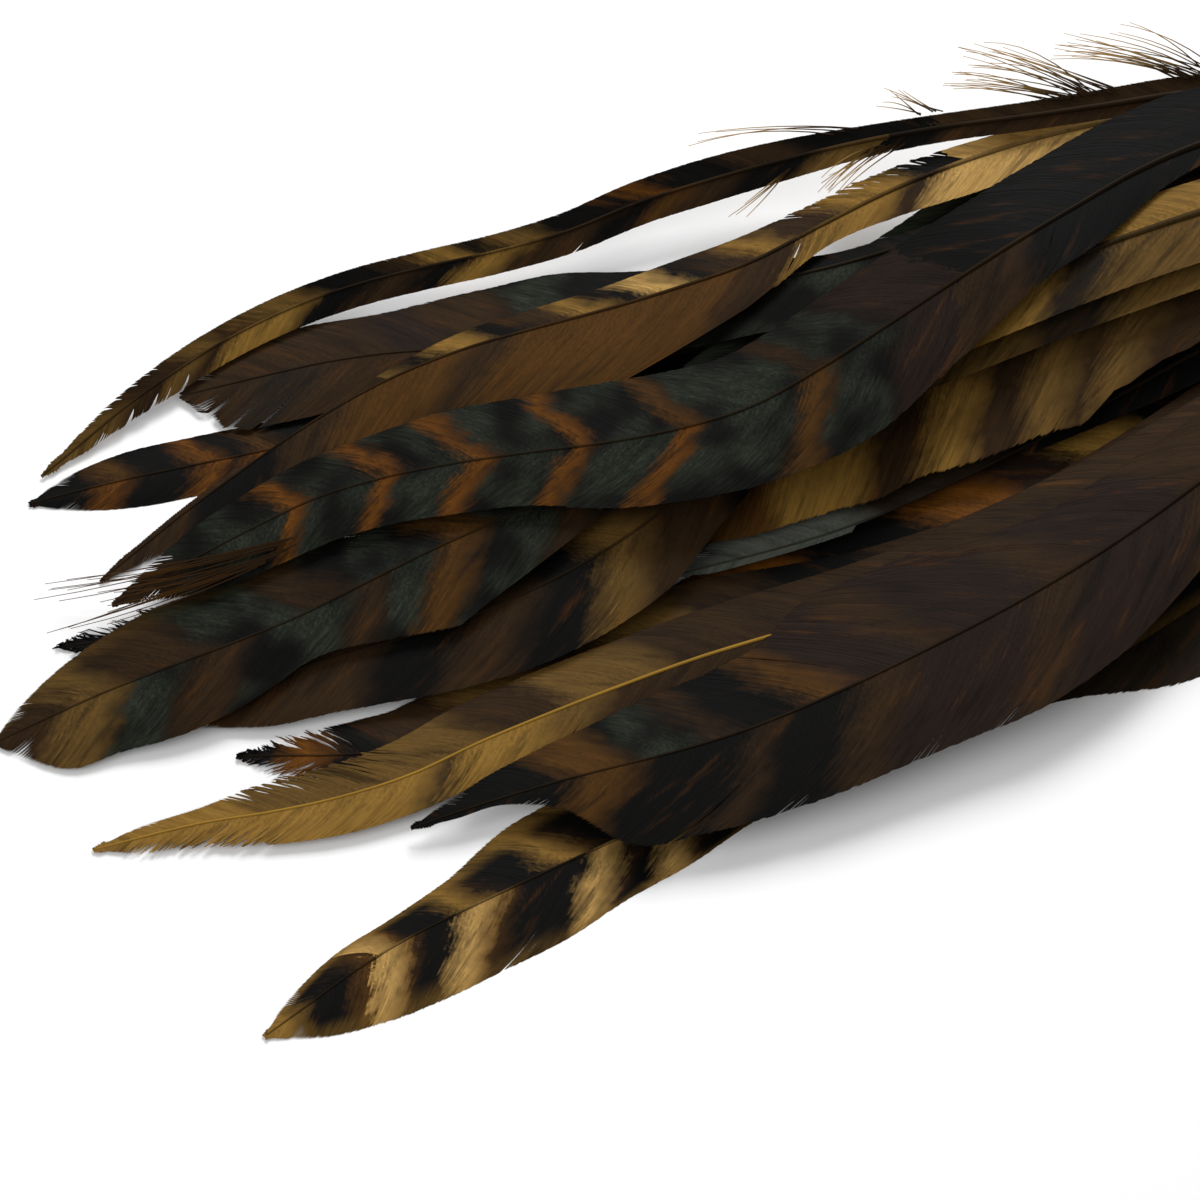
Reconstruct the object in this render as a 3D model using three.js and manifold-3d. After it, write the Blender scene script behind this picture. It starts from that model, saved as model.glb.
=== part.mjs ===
// A tied bunch of rooster schlappen lying on a surface.
// Eighteen feathers run together towards their quills, which a few turns of cotton string hold.
// Lengths are in millimetres, +Z is up, the tips point to -X and the string is at the +X end.
import * as THREE from 'three';
import * as BufferGeometryUtils from 'three/addons/utils/BufferGeometryUtils.js';
import Module from 'manifold-3d';

const wasm = await Module();
wasm.setup();

// Quills where the string holds them
const QUILL_RADIUS = 1.05;
const QUILL_PITCH = 2.46;
const ROW_PITCH = 2.18;
const SLOTS_PER_ROW = [4, 5, 4, 5];
const TIE_X = 166;
const TIE_Y = 12;
const QUILL_STUB = 10;
const HELD_LENGTH = 5;
const FAN_LENGTH = 9;
const BARE_QUILL = 30;

// String
const STRING_RADIUS = 0.5;
const STRING_TURNS = 5;
const STRING_CLEARANCE = 0.3;
const BELT_STEPS = 30;
const SCALLOP_HALF_WIDTH = 0.36;
const SCALLOP_SHOULDER = 0.85;
const KNOT_RADIUS = 1.5;
const KNOT_SHAPE = { x: 1.1, y: 1.25, z: 0.85 };
const KNOT_RISE = 0.5;
const STRING_END_LENGTH = 7;
const STRING_END_BENDS = [
  { back: 1.2, share: 0.45, rise: 0.5 },
  { back: 3.4, share: 0.85, rise: -0.6 },
];

// Feathers
const SHAFT_TIP_RADIUS = 0.3;
const VANE_THICKNESS = 0.5;
const CAMBER = 0.05;
const STATIONS = 22;
const VANE_BASE_TAPER = 54;
const TIP_ROUNDING = 0.8;
const BASE_ROUNDING = 0.7;
const SHAFT_GROWTH = 1.7;
const VANE_ROOT = 3;
const UNDERSIDE_DROOP = 0.3;
const STATION_SPREAD = 1.15;
const ROLL_FADE = 60;
const LENGTH_DIVISIONS = 800;

// How the feathers lie on each other
const CELL = 0.5;
const LYING_GAP = 0.32;
const BEND_SLOPE = 0.14;
const SMOOTHING_PASSES = 8;
const FIELD = { x: -95, y: -60, width: 285, depth: 130 };

const lowestQuillZ = QUILL_RADIUS + STRING_CLEARANCE + 2 * STRING_RADIUS;

// The place of a quill in the string: rows are counted upwards, columns towards +Y.
function slotPlace([row, column]) {
  const middle = (SLOTS_PER_ROW[row] - 1) / 2;
  return {
    y: TIE_Y + (column - middle) * QUILL_PITCH,
    z: lowestQuillZ + row * ROW_PITCH,
  };
}

// The feathers from the lowest to the topmost. A route runs along the shaft, from the tip towards
// the string. The far side is the half vane on +Y and the near side the one on -Y. A width is the
// half vane's widest, or a few pairs of distance from the tip and width. round is the length over
// which the tip rounds in, and roll the turn of the vane about its shaft in degrees.
const FEATHERS = [
  {
    name: 'feather_low_dark', slot: [0, 0], flat: true, color: 0x2b2119, round: 22,
    route: [[30, -26], [60, -27.5], [90, -22], [128, -4]],
    far: 9,
    near: [[0, 7], [20, 7.8], [38, 11.7], [60, 12.5]],
  },
  {
    name: 'feather_bold_barred', slot: [0, 1], flat: true, color: 0x6b4c1e, round: 16,
    route: [[-62, -44], [-43, -38], [-26, -35.5], [0, -32.6], [40, -28], [80, -18.5], [126, -2]],
    far: [[0, 3.4], [22, 3.6], [29, 4.4], [36, 6.9], [44, 8.6], [62, 9.8], [110, 9]],
    near: [[0, 6.5], [12, 8], [22, 9.6], [38, 9.8], [47, 8.2], [62, 7.2], [72, 5.2], [84, 5], [120, 8]],
  },
  {
    name: 'feather_split_tip', slot: [0, 2], flat: true, color: 0x191a1a, round: 30,
    route: [[-68, 18.5], [-55, 15.5], [0, 9], [60, 6], [125, 10]],
    far: 6, near: 6,
  },
  {
    name: 'feather_small_barred', slot: [0, 3], flat: true, color: 0x3f2c16, round: 18,
    route: [[-65, 40.2], [-55, 39.6], [-29, 36.4], [0, 33], [60, 28], [126, 19]],
    far: 4.4, near: 4.6,
  },
  {
    name: 'feather_deep_brown', slot: [1, 3], color: 0x33241a, round: 30,
    route: [[0, -5], [30, -8], [62, -6], [98, -1], [130, 7]],
    far: 8.5, near: 8.5,
  },
  {
    name: 'feather_ragged', slot: [1, 2], color: 0x7a5a26, round: 24,
    route: [[-52, -5], [-31, -12], [-10, -11.8], [8, -10.8], [30, -13.5], [60, -12], [98, -3], [130, 5]],
    far: [[0, 4.5], [20, 6], [35, 8.4], [60, 8.6], [110, 6]],
    near: 6,
  },
  {
    name: 'feather_golden', slot: [1, 1], color: 0x84652b, round: 14,
    route: [[-73.5, -11.3], [-60, -12.8], [-47, -15.4], [-34, -16.5], [-20, -15.2], [7, -14.5],
      [40, -16], [85, -10], [128, 2]],
    far: [[0, 1.8], [14, 2.2], [25, 4.6], [60, 6.5], [110, 7]],
    near: [[0, 2.6], [12, 3.2], [30, 5.2], [60, 5], [76, 3], [110, 4]],
  },
  {
    name: 'feather_purple_barred', slot: [1, 0], color: 0x3d2b1d, round: 8,
    route: [[-35, -23.7], [-17, -24.8], [9, -27.4], [34, -25.6], [60, -21.2], [92, -11.5], [128, 0]],
    far: [[0, 1], [14, 4], [25, 7], [38, 9.3], [52, 11], [62, 14.5], [75, 13.4], [95, 9], [120, 8]],
    near: [[0, 0.8], [17, 1], [23, 9.5], [30, 12], [60, 13], [82, 14.5], [92, 13], [105, 10], [115, 7.5]],
  },
  {
    name: 'feather_edge_on', slot: [1, 4], color: 0x5c666b, round: 7,
    route: [[10, -1.2], [33, -2.8], [55, -1.2], [95, 5], [130, 10]],
    far: [[0, 2], [8, 4.2], [60, 4.4], [80, 5]],
    near: [[0, 1.2], [20, 0.9], [40, 0.9], [80, 4]],
  },
  {
    name: 'feather_gold_back', slot: [2, 0], color: 0x8a6a30, round: 24,
    route: [[46, 19], [75, 22], [104, 21], [130, 14]],
    far: 6.5, near: 6,
  },
  {
    name: 'feather_black_back', slot: [2, 1], color: 0x1d211f, round: 30,
    route: [[8, 20], [47, 27], [70, 30.5], [97, 29], [130, 18]],
    far: [[0, 7.2], [38, 7.4], [50, 8.9], [62, 10.4], [90, 10]],
    near: 9,
  },
  {
    name: 'feather_blunt_dark', slot: [2, 2], color: 0x3b2e27, round: 9,
    route: [[-41, 48.6], [-18, 45.8], [-4, 42], [30, 36.6], [50, 33.4], [66, 32.4], [97, 29], [130, 20]],
    far: [[0, 6.3], [25, 6.3], [40, 8.3], [50, 8.8], [62, 6.4], [76, 3.8], [90, 2], [125, 2]],
    near: 7.5,
  },
  {
    name: 'feather_long_brown', slot: [2, 3], color: 0x6e4a1c, round: 12,
    route: [[-60, 25.7], [-44, 32], [-21, 38.8], [-6, 40.3], [21, 38.2], [36, 38], [55, 41],
      [76, 41.4], [101, 37], [132, 25]],
    far: [[0, 0.6], [40, 0.9], [66, 3], [95, 4.4], [115, 3.4], [140, 2.4], [170, 5]],
    near: [[0, 2], [20, 4], [45, 7.2], [72, 11.4], [84, 12], [95, 6.4], [104, 3], [114, 3.2], [126, 5],
      [150, 4.6], [170, 5]],
  },
  {
    name: 'feather_twisted_slim', slot: [3, 4], color: 0x4a3418, round: 26, roll: 24,
    route: [[-62, 43.5], [-45, 49.8], [-29, 54.2], [-14, 55.2], [13, 52], [28, 52.2], [56, 48.8],
      [83, 42], [103, 36.8], [133, 24]],
    far: [[0, 2], [60, 2.2], [100, 3], [130, 1.8], [170, 2.4]],
    near: [[0, 2.4], [60, 3], [100, 3], [130, 2], [170, 1.8]],
  },
  {
    name: 'feather_soft_barred', slot: [3, 1], color: 0x6f5226, round: 20,
    route: [[10, 2.6], [35, 11], [65, 18], [92, 18], [130, 14]],
    far: 8,
    near: [[0, 6], [14, 8.6], [30, 13.3], [45, 17.5], [60, 20.4], [78, 18.6], [95, 12]],
  },
  {
    name: 'feather_under_front', slot: [3, 0], color: 0x4d3418, round: 20,
    route: [[-60, 2.5], [-40, 3.2], [-17, 1.8], [2, 3.8], [20, 9], [50, 13.5], [92, 13], [130, 10]],
    far: 8,
    near: [[0, 5], [20, 7.4], [40, 9.4], [52, 10.4], [62, 9.8], [77, 6.8], [88, 3.6], [105, 4], [120, 5]],
  },
  {
    name: 'feather_front_wide', slot: [3, 2], color: 0x46331c, round: 9,
    route: [[-80.5, 7.8], [-66, 9], [-39, 9.4], [-20, 11.6], [-2, 12.8], [30, 16.5], [72, 18],
      [104, 17], [132, 14]],
    far: [[0, 3], [8, 4.2], [15, 6.8], [22, 8.8], [45, 9.6], [60, 8], [70, 6], [90, 5]],
    near: [[0, 6.5], [10, 8.2], [20, 9.3], [30, 10.6], [36, 6.4], [45, 6.4], [52, 9], [66, 12], [73, 9.6],
      [81, 5.5], [120, 7]],
  },
  {
    name: 'feather_barred_green', slot: [3, 3], color: 0x2f3a33, round: 20,
    route: [[-60, 20.2], [-40, 23.2], [-28, 24], [-12, 21.4], [13, 14.6], [27, 13.2], [42, 16],
      [65, 21.4], [98, 27.5], [132, 20]],
    far: [[0, 3.5], [25, 5.2], [35, 6.6], [50, 8.4], [70, 9.4], [90, 8.6], [110, 9]],
    near: [[0, 5], [15, 6.2], [35, 6.8], [55, 7.6], [75, 10.5], [100, 12], [112, 10], [126, 6.8],
      [143, 6], [153, 3.5], [165, 2.5]],
  },
];

// A smooth value between pairs of distance and value.
function alongPairs(pairs, distance) {
  if (distance <= pairs[0][0]) {
    return pairs[0][1];
  }
  for (let i = 1; i < pairs.length; i += 1) {
    if (distance <= pairs[i][0]) {
      const [d0, v0] = pairs[i - 1];
      const [d1, v1] = pairs[i];
      return v0 + (v1 - v0) * THREE.MathUtils.smoothstep(distance, d0, d1);
    }
  }
  return pairs[pairs.length - 1][1];
}

// A half vane's width: rounded in at the tip, narrowed to the quill at the base.
function halfWidth(width, feather, fromTip, length) {
  const full = typeof width === 'number' ? width : alongPairs(width, fromTip);
  const tip = Math.sin((Math.PI / 2) * Math.min(1, fromTip / feather.round)) ** TIP_ROUNDING;
  const vaneEnd = length - BARE_QUILL;
  const base = 1 - THREE.MathUtils.smoothstep(fromTip, vaneEnd - VANE_BASE_TAPER, vaneEnd);
  return full * tip * base ** BASE_ROUNDING;
}

function shaftRadius(fromTip, length) {
  const share = Math.min(1, fromTip / (length - BARE_QUILL));
  return SHAFT_TIP_RADIUS + (QUILL_RADIUS - SHAFT_TIP_RADIUS) * share ** SHAFT_GROWTH;
}

// The eight corners of a section, as sideways and upward offsets from the shaft's middle.
// A vane is a thin lens with its shaft as a ridge, and a bare quill is an octagon. The lowest
// feathers are pressed flat: their undersides are level and the shaft stands up on top.
function section(feather, fromTip, length) {
  const radius = shaftRadius(fromTip, length);
  const far = Math.max(radius, halfWidth(feather.far, feather, fromTip, length));
  const near = Math.max(radius, halfWidth(feather.near, feather, fromTip, length));
  const corner = radius * Math.SQRT1_2;
  const side = (width) => {
    const vane = Math.min(1, (width - radius) / VANE_ROOT);
    const droop = feather.flat ? SHAFT_TIP_RADIUS : CAMBER * width;
    const middle = corner + (width / 2 - corner) * vane;
    const under = feather.flat ? -SHAFT_TIP_RADIUS : -VANE_THICKNESS / 2 - droop * UNDERSIDE_DROOP;
    return {
      vane,
      edge: [width, -droop * vane],
      top: [middle, corner + (under + VANE_THICKNESS - corner) * vane],
      bottom: [middle, -corner + (under + corner) * vane],
    };
  };
  const f = side(far);
  const n = side(near);
  const sunk = feather.flat ? (radius - SHAFT_TIP_RADIUS) * Math.max(f.vane, n.vane) : 0;
  return [
    f.edge, f.top, [0, radius + sunk], [-n.top[0], n.top[1]],
    [-n.edge[0], n.edge[1]], [-n.bottom[0], n.bottom[1]], [0, sunk - radius], f.bottom,
  ];
}

// Distances from the tip at which a feather has its sections: closer at the tip, and at the same
// places on every feather where the quills fan out of the string.
function stationDistances(length) {
  const freeEnd = length - QUILL_STUB - HELD_LENGTH;
  const distances = [0];
  for (let i = 1; i <= STATIONS; i += 1) {
    distances.push((freeEnd - FAN_LENGTH) * (i / STATIONS) ** STATION_SPREAD);
  }
  distances.push(freeEnd, length - 1, length);
  return distances;
}

// The skin between the sections, closed by a point at both ends.
function featherIndex(rings, corners) {
  const index = [];
  const last = 1 + rings * corners;
  for (let k = 0; k < corners; k += 1) {
    const next = (k + 1) % corners;
    index.push(0, 1 + next, 1 + k);
    for (let r = 0; r < rings - 1; r += 1) {
      const a = 1 + r * corners;
      const b = a + corners;
      index.push(a + k, a + next, b + next);
      index.push(a + k, b + next, b + k);
    }
    const end = 1 + (rings - 1) * corners;
    index.push(last, end + k, end + next);
  }
  return index;
}

// The height of what already lies on the surface, kept on a grid of small cells.
class Pile {
  constructor() {
    this.columns = Math.ceil(FIELD.width / CELL);
    this.rows = Math.ceil(FIELD.depth / CELL);
    this.height = new Float32Array(this.columns * this.rows);
  }

  // Calls visit with a cell and the height of the triangle a, b, c above it.
  overTriangle(a, b, c, visit) {
    const det = (b[1] - c[1]) * (a[0] - c[0]) + (c[0] - b[0]) * (a[1] - c[1]);
    const toColumn = (x) => Math.floor((x - FIELD.x) / CELL);
    const toRow = (y) => Math.floor((y - FIELD.y) / CELL);
    for (const p of [a, b, c]) {
      visit(toRow(p[1]) * this.columns + toColumn(p[0]), p[2]);
    }
    if (Math.abs(det) < 1e-9) {
      return;
    }
    const firstRow = toRow(Math.min(a[1], b[1], c[1]));
    const lastRow = toRow(Math.max(a[1], b[1], c[1]));
    const firstColumn = toColumn(Math.min(a[0], b[0], c[0]));
    const lastColumn = toColumn(Math.max(a[0], b[0], c[0]));
    for (let row = firstRow; row <= lastRow; row += 1) {
      const y = FIELD.y + (row + 0.5) * CELL;
      for (let column = firstColumn; column <= lastColumn; column += 1) {
        const x = FIELD.x + (column + 0.5) * CELL;
        const u = ((b[1] - c[1]) * (x - c[0]) + (c[0] - b[0]) * (y - c[1])) / det;
        const v = ((c[1] - a[1]) * (x - c[0]) + (a[0] - c[0]) * (y - c[1])) / det;
        if (u >= 0 && v >= 0 && u + v <= 1) {
          visit(row * this.columns + column, u * a[2] + v * b[2] + (1 - u - v) * c[2]);
        }
      }
    }
  }

  // The highest thing in a cell and the eight around it.
  topNear(cell) {
    let top = 0;
    for (let row = -1; row <= 1; row += 1) {
      for (let column = -1; column <= 1; column += 1) {
        top = Math.max(top, this.height[cell + row * this.columns + column]);
      }
    }
    return top;
  }

  add(points, index) {
    for (let i = 0; i < index.length; i += 3) {
      this.overTriangle(points[index[i]], points[index[i + 1]], points[index[i + 2]], (cell, z) => {
        this.height[cell] = Math.max(this.height[cell], z);
      });
    }
  }
}

// How far each station of a feather has to rise to lie on the pile with a small gap.
function neededLifts(pile, points, index, stationOf, count) {
  const needed = new Array(count).fill(0);
  for (let i = 0; i < index.length; i += 3) {
    const corners = [index[i], index[i + 1], index[i + 2]];
    const stations = corners.map((corner) => stationOf[corner]);
    pile.overTriangle(points[corners[0]], points[corners[1]], points[corners[2]], (cell, z) => {
      const top = pile.topNear(cell);
      const lift = (top > 0 ? top + LYING_GAP : 0) - z;
      for (const station of stations) {
        needed[station] = Math.max(needed[station], lift);
      }
    });
  }
  return needed;
}

// A feather bends only gently: each station is held up by the high ones near it.
function bend(needed, distances, heldFrom, heldZ, flat) {
  const floor = needed.map((lift, i) => (i >= heldFrom ? heldZ : lift));
  const lifts = floor.map((own, i) => {
    if (i >= heldFrom) {
      return heldZ;
    }
    let lift = own;
    for (let j = 0; j < floor.length; j += 1) {
      lift = Math.max(lift, floor[j] - BEND_SLOPE * Math.abs(distances[i] - distances[j]));
    }
    return lift;
  });
  for (let pass = 0; pass < (flat ? 0 : SMOOTHING_PASSES); pass += 1) {
    for (let i = 1; i < heldFrom; i += 1) {
      const gap0 = distances[i] - distances[i - 1];
      const gap1 = distances[i + 1] - distances[i];
      const between = (lifts[i - 1] * gap1 + lifts[i + 1] * gap0) / (gap0 + gap1);
      lifts[i] = Math.max(floor[i], between);
    }
  }
  return lifts;
}

function geometryOf(points, index) {
  const geometry = new THREE.BufferGeometry();
  geometry.setAttribute('position', new THREE.Float32BufferAttribute(points.flat(), 3));
  geometry.setIndex(index);
  geometry.computeVertexNormals();
  return geometry;
}

// One feather, bent over everything that already lies in the pile.
function featherMesh(feather, pile) {
  const slot = slotPlace(feather.slot);
  const plan = [
    ...feather.route,
    [TIE_X - HELD_LENGTH, slot.y],
    [TIE_X, slot.y],
    [TIE_X + QUILL_STUB, slot.y],
  ];
  const planPoints = plan.map(([x, y]) => new THREE.Vector3(x, y, 0));
  const curve = new THREE.CatmullRomCurve3(planPoints, false, 'centripetal');
  curve.arcLengthDivisions = LENGTH_DIVISIONS;
  const length = curve.getLength();
  const distances = stationDistances(length);
  const rings = distances.length - 2;
  const heldFrom = distances.length - 3;
  const corners = 8;
  const points = [];
  const stationOf = [];
  distances.forEach((fromTip, station) => {
    const middle = curve.getPointAt(fromTip / length);
    const along = curve.getTangentAt(fromTip / length);
    if (station === 0 || station === distances.length - 1) {
      points.push([middle.x, middle.y, 0]);
      stationOf.push(station);
      return;
    }
    const vaneEnd = length - BARE_QUILL;
    const vaneShare = 1 - THREE.MathUtils.smoothstep(fromTip, vaneEnd - ROLL_FADE, vaneEnd);
    const roll = THREE.MathUtils.degToRad((feather.roll ?? 0) * vaneShare);
    for (const [side, up] of section(feather, fromTip, length)) {
      const across = side * Math.cos(roll) - up * Math.sin(roll);
      const z = side * Math.sin(roll) + up * Math.cos(roll);
      points.push([middle.x - along.y * across, middle.y + along.x * across, z]);
      stationOf.push(station);
    }
  });
  const index = featherIndex(rings, corners);
  const needed = neededLifts(pile, points, index, stationOf, distances.length);
  const lifts = bend(needed, distances, heldFrom, slot.z, feather.flat);
  points.forEach((point, i) => {
    point[2] += lifts[stationOf[i]];
  });
  pile.add(points, index);
  const material = new THREE.MeshStandardMaterial({ color: feather.color, roughness: 0.55, metalness: 0 });
  const mesh = new THREE.Mesh(geometryOf(points, index), material);
  mesh.name = feather.name;
  return mesh;
}

function solidOf(geometry) {
  const bare = geometry.clone();
  bare.deleteAttribute('normal');
  bare.deleteAttribute('uv');
  const merged = BufferGeometryUtils.mergeVertices(bare, 1e-4);
  return new wasm.Manifold(new wasm.Mesh({
    numProp: 3,
    vertProperties: new Float32Array(merged.attributes.position.array),
    triVerts: new Uint32Array(merged.index.array),
  }));
}

// The string's turns side by side: a belt around the outermost quills, scalloped across its width.
function beltGeometry() {
  const centres = [];
  SLOTS_PER_ROW.forEach((count, row) => {
    for (let column = 0; column < count; column += 1) {
      centres.push(slotPlace([row, column]));
    }
  });
  const pitch = 2 * STRING_RADIUS;
  const halfWide = (STRING_TURNS * pitch) / 2;
  const profile = [[-halfWide, 0], [halfWide, 0]];
  for (let turn = STRING_TURNS - 1; turn >= 0; turn -= 1) {
    const middle = -halfWide + (turn + 0.5) * pitch;
    profile.push([middle + SCALLOP_HALF_WIDTH * pitch, SCALLOP_SHOULDER * pitch]);
    profile.push([middle, 2 * STRING_RADIUS]);
    profile.push([middle - SCALLOP_HALF_WIDTH * pitch, SCALLOP_SHOULDER * pitch]);
  }
  const points = [];
  const index = [];
  for (let step = 0; step < BELT_STEPS; step += 1) {
    const angle = (2 * Math.PI * (step + 0.5)) / BELT_STEPS;
    const out = [Math.cos(angle), Math.sin(angle)];
    const reach = (place) => place.y * out[0] + place.z * out[1];
    const outermost = centres.reduce((best, place) => (reach(place) > reach(best) ? place : best));
    for (const [x, rise] of profile) {
      const radius = QUILL_RADIUS + STRING_CLEARANCE + rise;
      points.push([TIE_X + x, outermost.y + radius * out[0], outermost.z + radius * out[1]]);
    }
    const a = step * profile.length;
    const b = ((step + 1) % BELT_STEPS) * profile.length;
    profile.forEach((_, k) => {
      const next = (k + 1) % profile.length;
      index.push(a + k, b + next, b + k);
      index.push(a + k, a + next, b + next);
    });
  }
  return geometryOf(points, index);
}

// A trimmed end of the string, from the knot outwards.
function stringEnd(knot, side) {
  const bends = STRING_END_BENDS.map(({ back, share, rise }) => new THREE.Vector3(
    knot.x - back,
    knot.y + side * STRING_END_LENGTH * share,
    knot.z + rise,
  ));
  const route = new THREE.CatmullRomCurve3([knot, ...bends]);
  const round = new THREE.Shape();
  round.absarc(0, 0, STRING_RADIUS, 0, 2 * Math.PI, false);
  return new THREE.ExtrudeGeometry(round, { extrudePath: route, steps: 5, curveSegments: 4 });
}

function threadTie() {
  const top = slotPlace([SLOTS_PER_ROW.length - 1, 2]);
  const knotZ = top.z + QUILL_RADIUS + STRING_CLEARANCE + 2 * STRING_RADIUS + KNOT_RISE;
  const knot = new THREE.Vector3(TIE_X, TIE_Y, knotZ);
  const lump = new THREE.SphereGeometry(KNOT_RADIUS, 10, 7);
  lump.scale(KNOT_SHAPE.x, KNOT_SHAPE.y, KNOT_SHAPE.z);
  lump.translate(knot.x, knot.y, knot.z);
  const whole = [lump, stringEnd(knot, 1), stringEnd(knot, -1)]
    .map(solidOf)
    .reduce((sum, solid) => sum.add(solid), solidOf(beltGeometry()));
  const joined = whole.getMesh();
  const geometry = new THREE.BufferGeometry();
  geometry.setAttribute('position', new THREE.BufferAttribute(joined.vertProperties, 3));
  geometry.setIndex(new THREE.BufferAttribute(joined.triVerts, 1));
  geometry.computeVertexNormals();
  const material = new THREE.MeshStandardMaterial({ color: 0xcfc4a8, roughness: 0.9, metalness: 0 });
  const mesh = new THREE.Mesh(geometry, material);
  mesh.name = 'thread_tie';
  return mesh;
}

const bunch = new THREE.Group();
const pile = new Pile();
for (const feather of FEATHERS) {
  bunch.add(featherMesh(feather, pile));
}
bunch.add(threadTie());

// The origin is the middle of the bunch's footprint, on the surface that it rests on.
const extent = new THREE.Box3().setFromObject(bunch);
const middle = extent.getCenter(new THREE.Vector3());
bunch.position.set(-middle.x, -middle.y, -extent.min.z);
bunch.updateMatrixWorld(true);

export default bunch;
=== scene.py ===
"""A tied bunch of rooster schlappen: eighteen feathers with their barbs, a cotton tie, and the stage."""

import math

import bpy
import numpy as np
from bpy.props import FloatProperty, FloatVectorProperty, IntProperty, PointerProperty
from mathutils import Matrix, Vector


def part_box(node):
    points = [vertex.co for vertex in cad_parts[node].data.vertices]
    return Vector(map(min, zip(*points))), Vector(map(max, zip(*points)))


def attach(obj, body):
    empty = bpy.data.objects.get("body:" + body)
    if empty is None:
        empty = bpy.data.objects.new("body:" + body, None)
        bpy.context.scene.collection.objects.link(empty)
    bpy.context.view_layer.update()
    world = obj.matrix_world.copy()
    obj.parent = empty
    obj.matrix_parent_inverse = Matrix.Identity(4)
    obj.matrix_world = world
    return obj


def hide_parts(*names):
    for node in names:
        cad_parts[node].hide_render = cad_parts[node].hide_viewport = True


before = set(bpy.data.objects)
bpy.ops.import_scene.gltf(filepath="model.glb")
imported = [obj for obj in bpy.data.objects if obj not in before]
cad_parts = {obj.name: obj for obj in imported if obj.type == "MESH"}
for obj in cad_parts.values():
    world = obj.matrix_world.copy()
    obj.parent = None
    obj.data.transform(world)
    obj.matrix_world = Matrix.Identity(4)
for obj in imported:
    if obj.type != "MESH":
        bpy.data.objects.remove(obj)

bl_info = {
    "name": "Rooster Schlappen Bunch",
    "version": (1, 0, 0),
    "blender": (4, 5, 0),
    "location": "View3D > Sidebar > Schlappen",
    "description": "Grows the barbs, shafts and tie of a bunch of rooster schlappen",
    "category": "Object",
}

MM = 0.001
CORNERS = 8
TIE = "thread_tie"
SIDES = {"far": 1.0, "near": -1.0}

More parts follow.
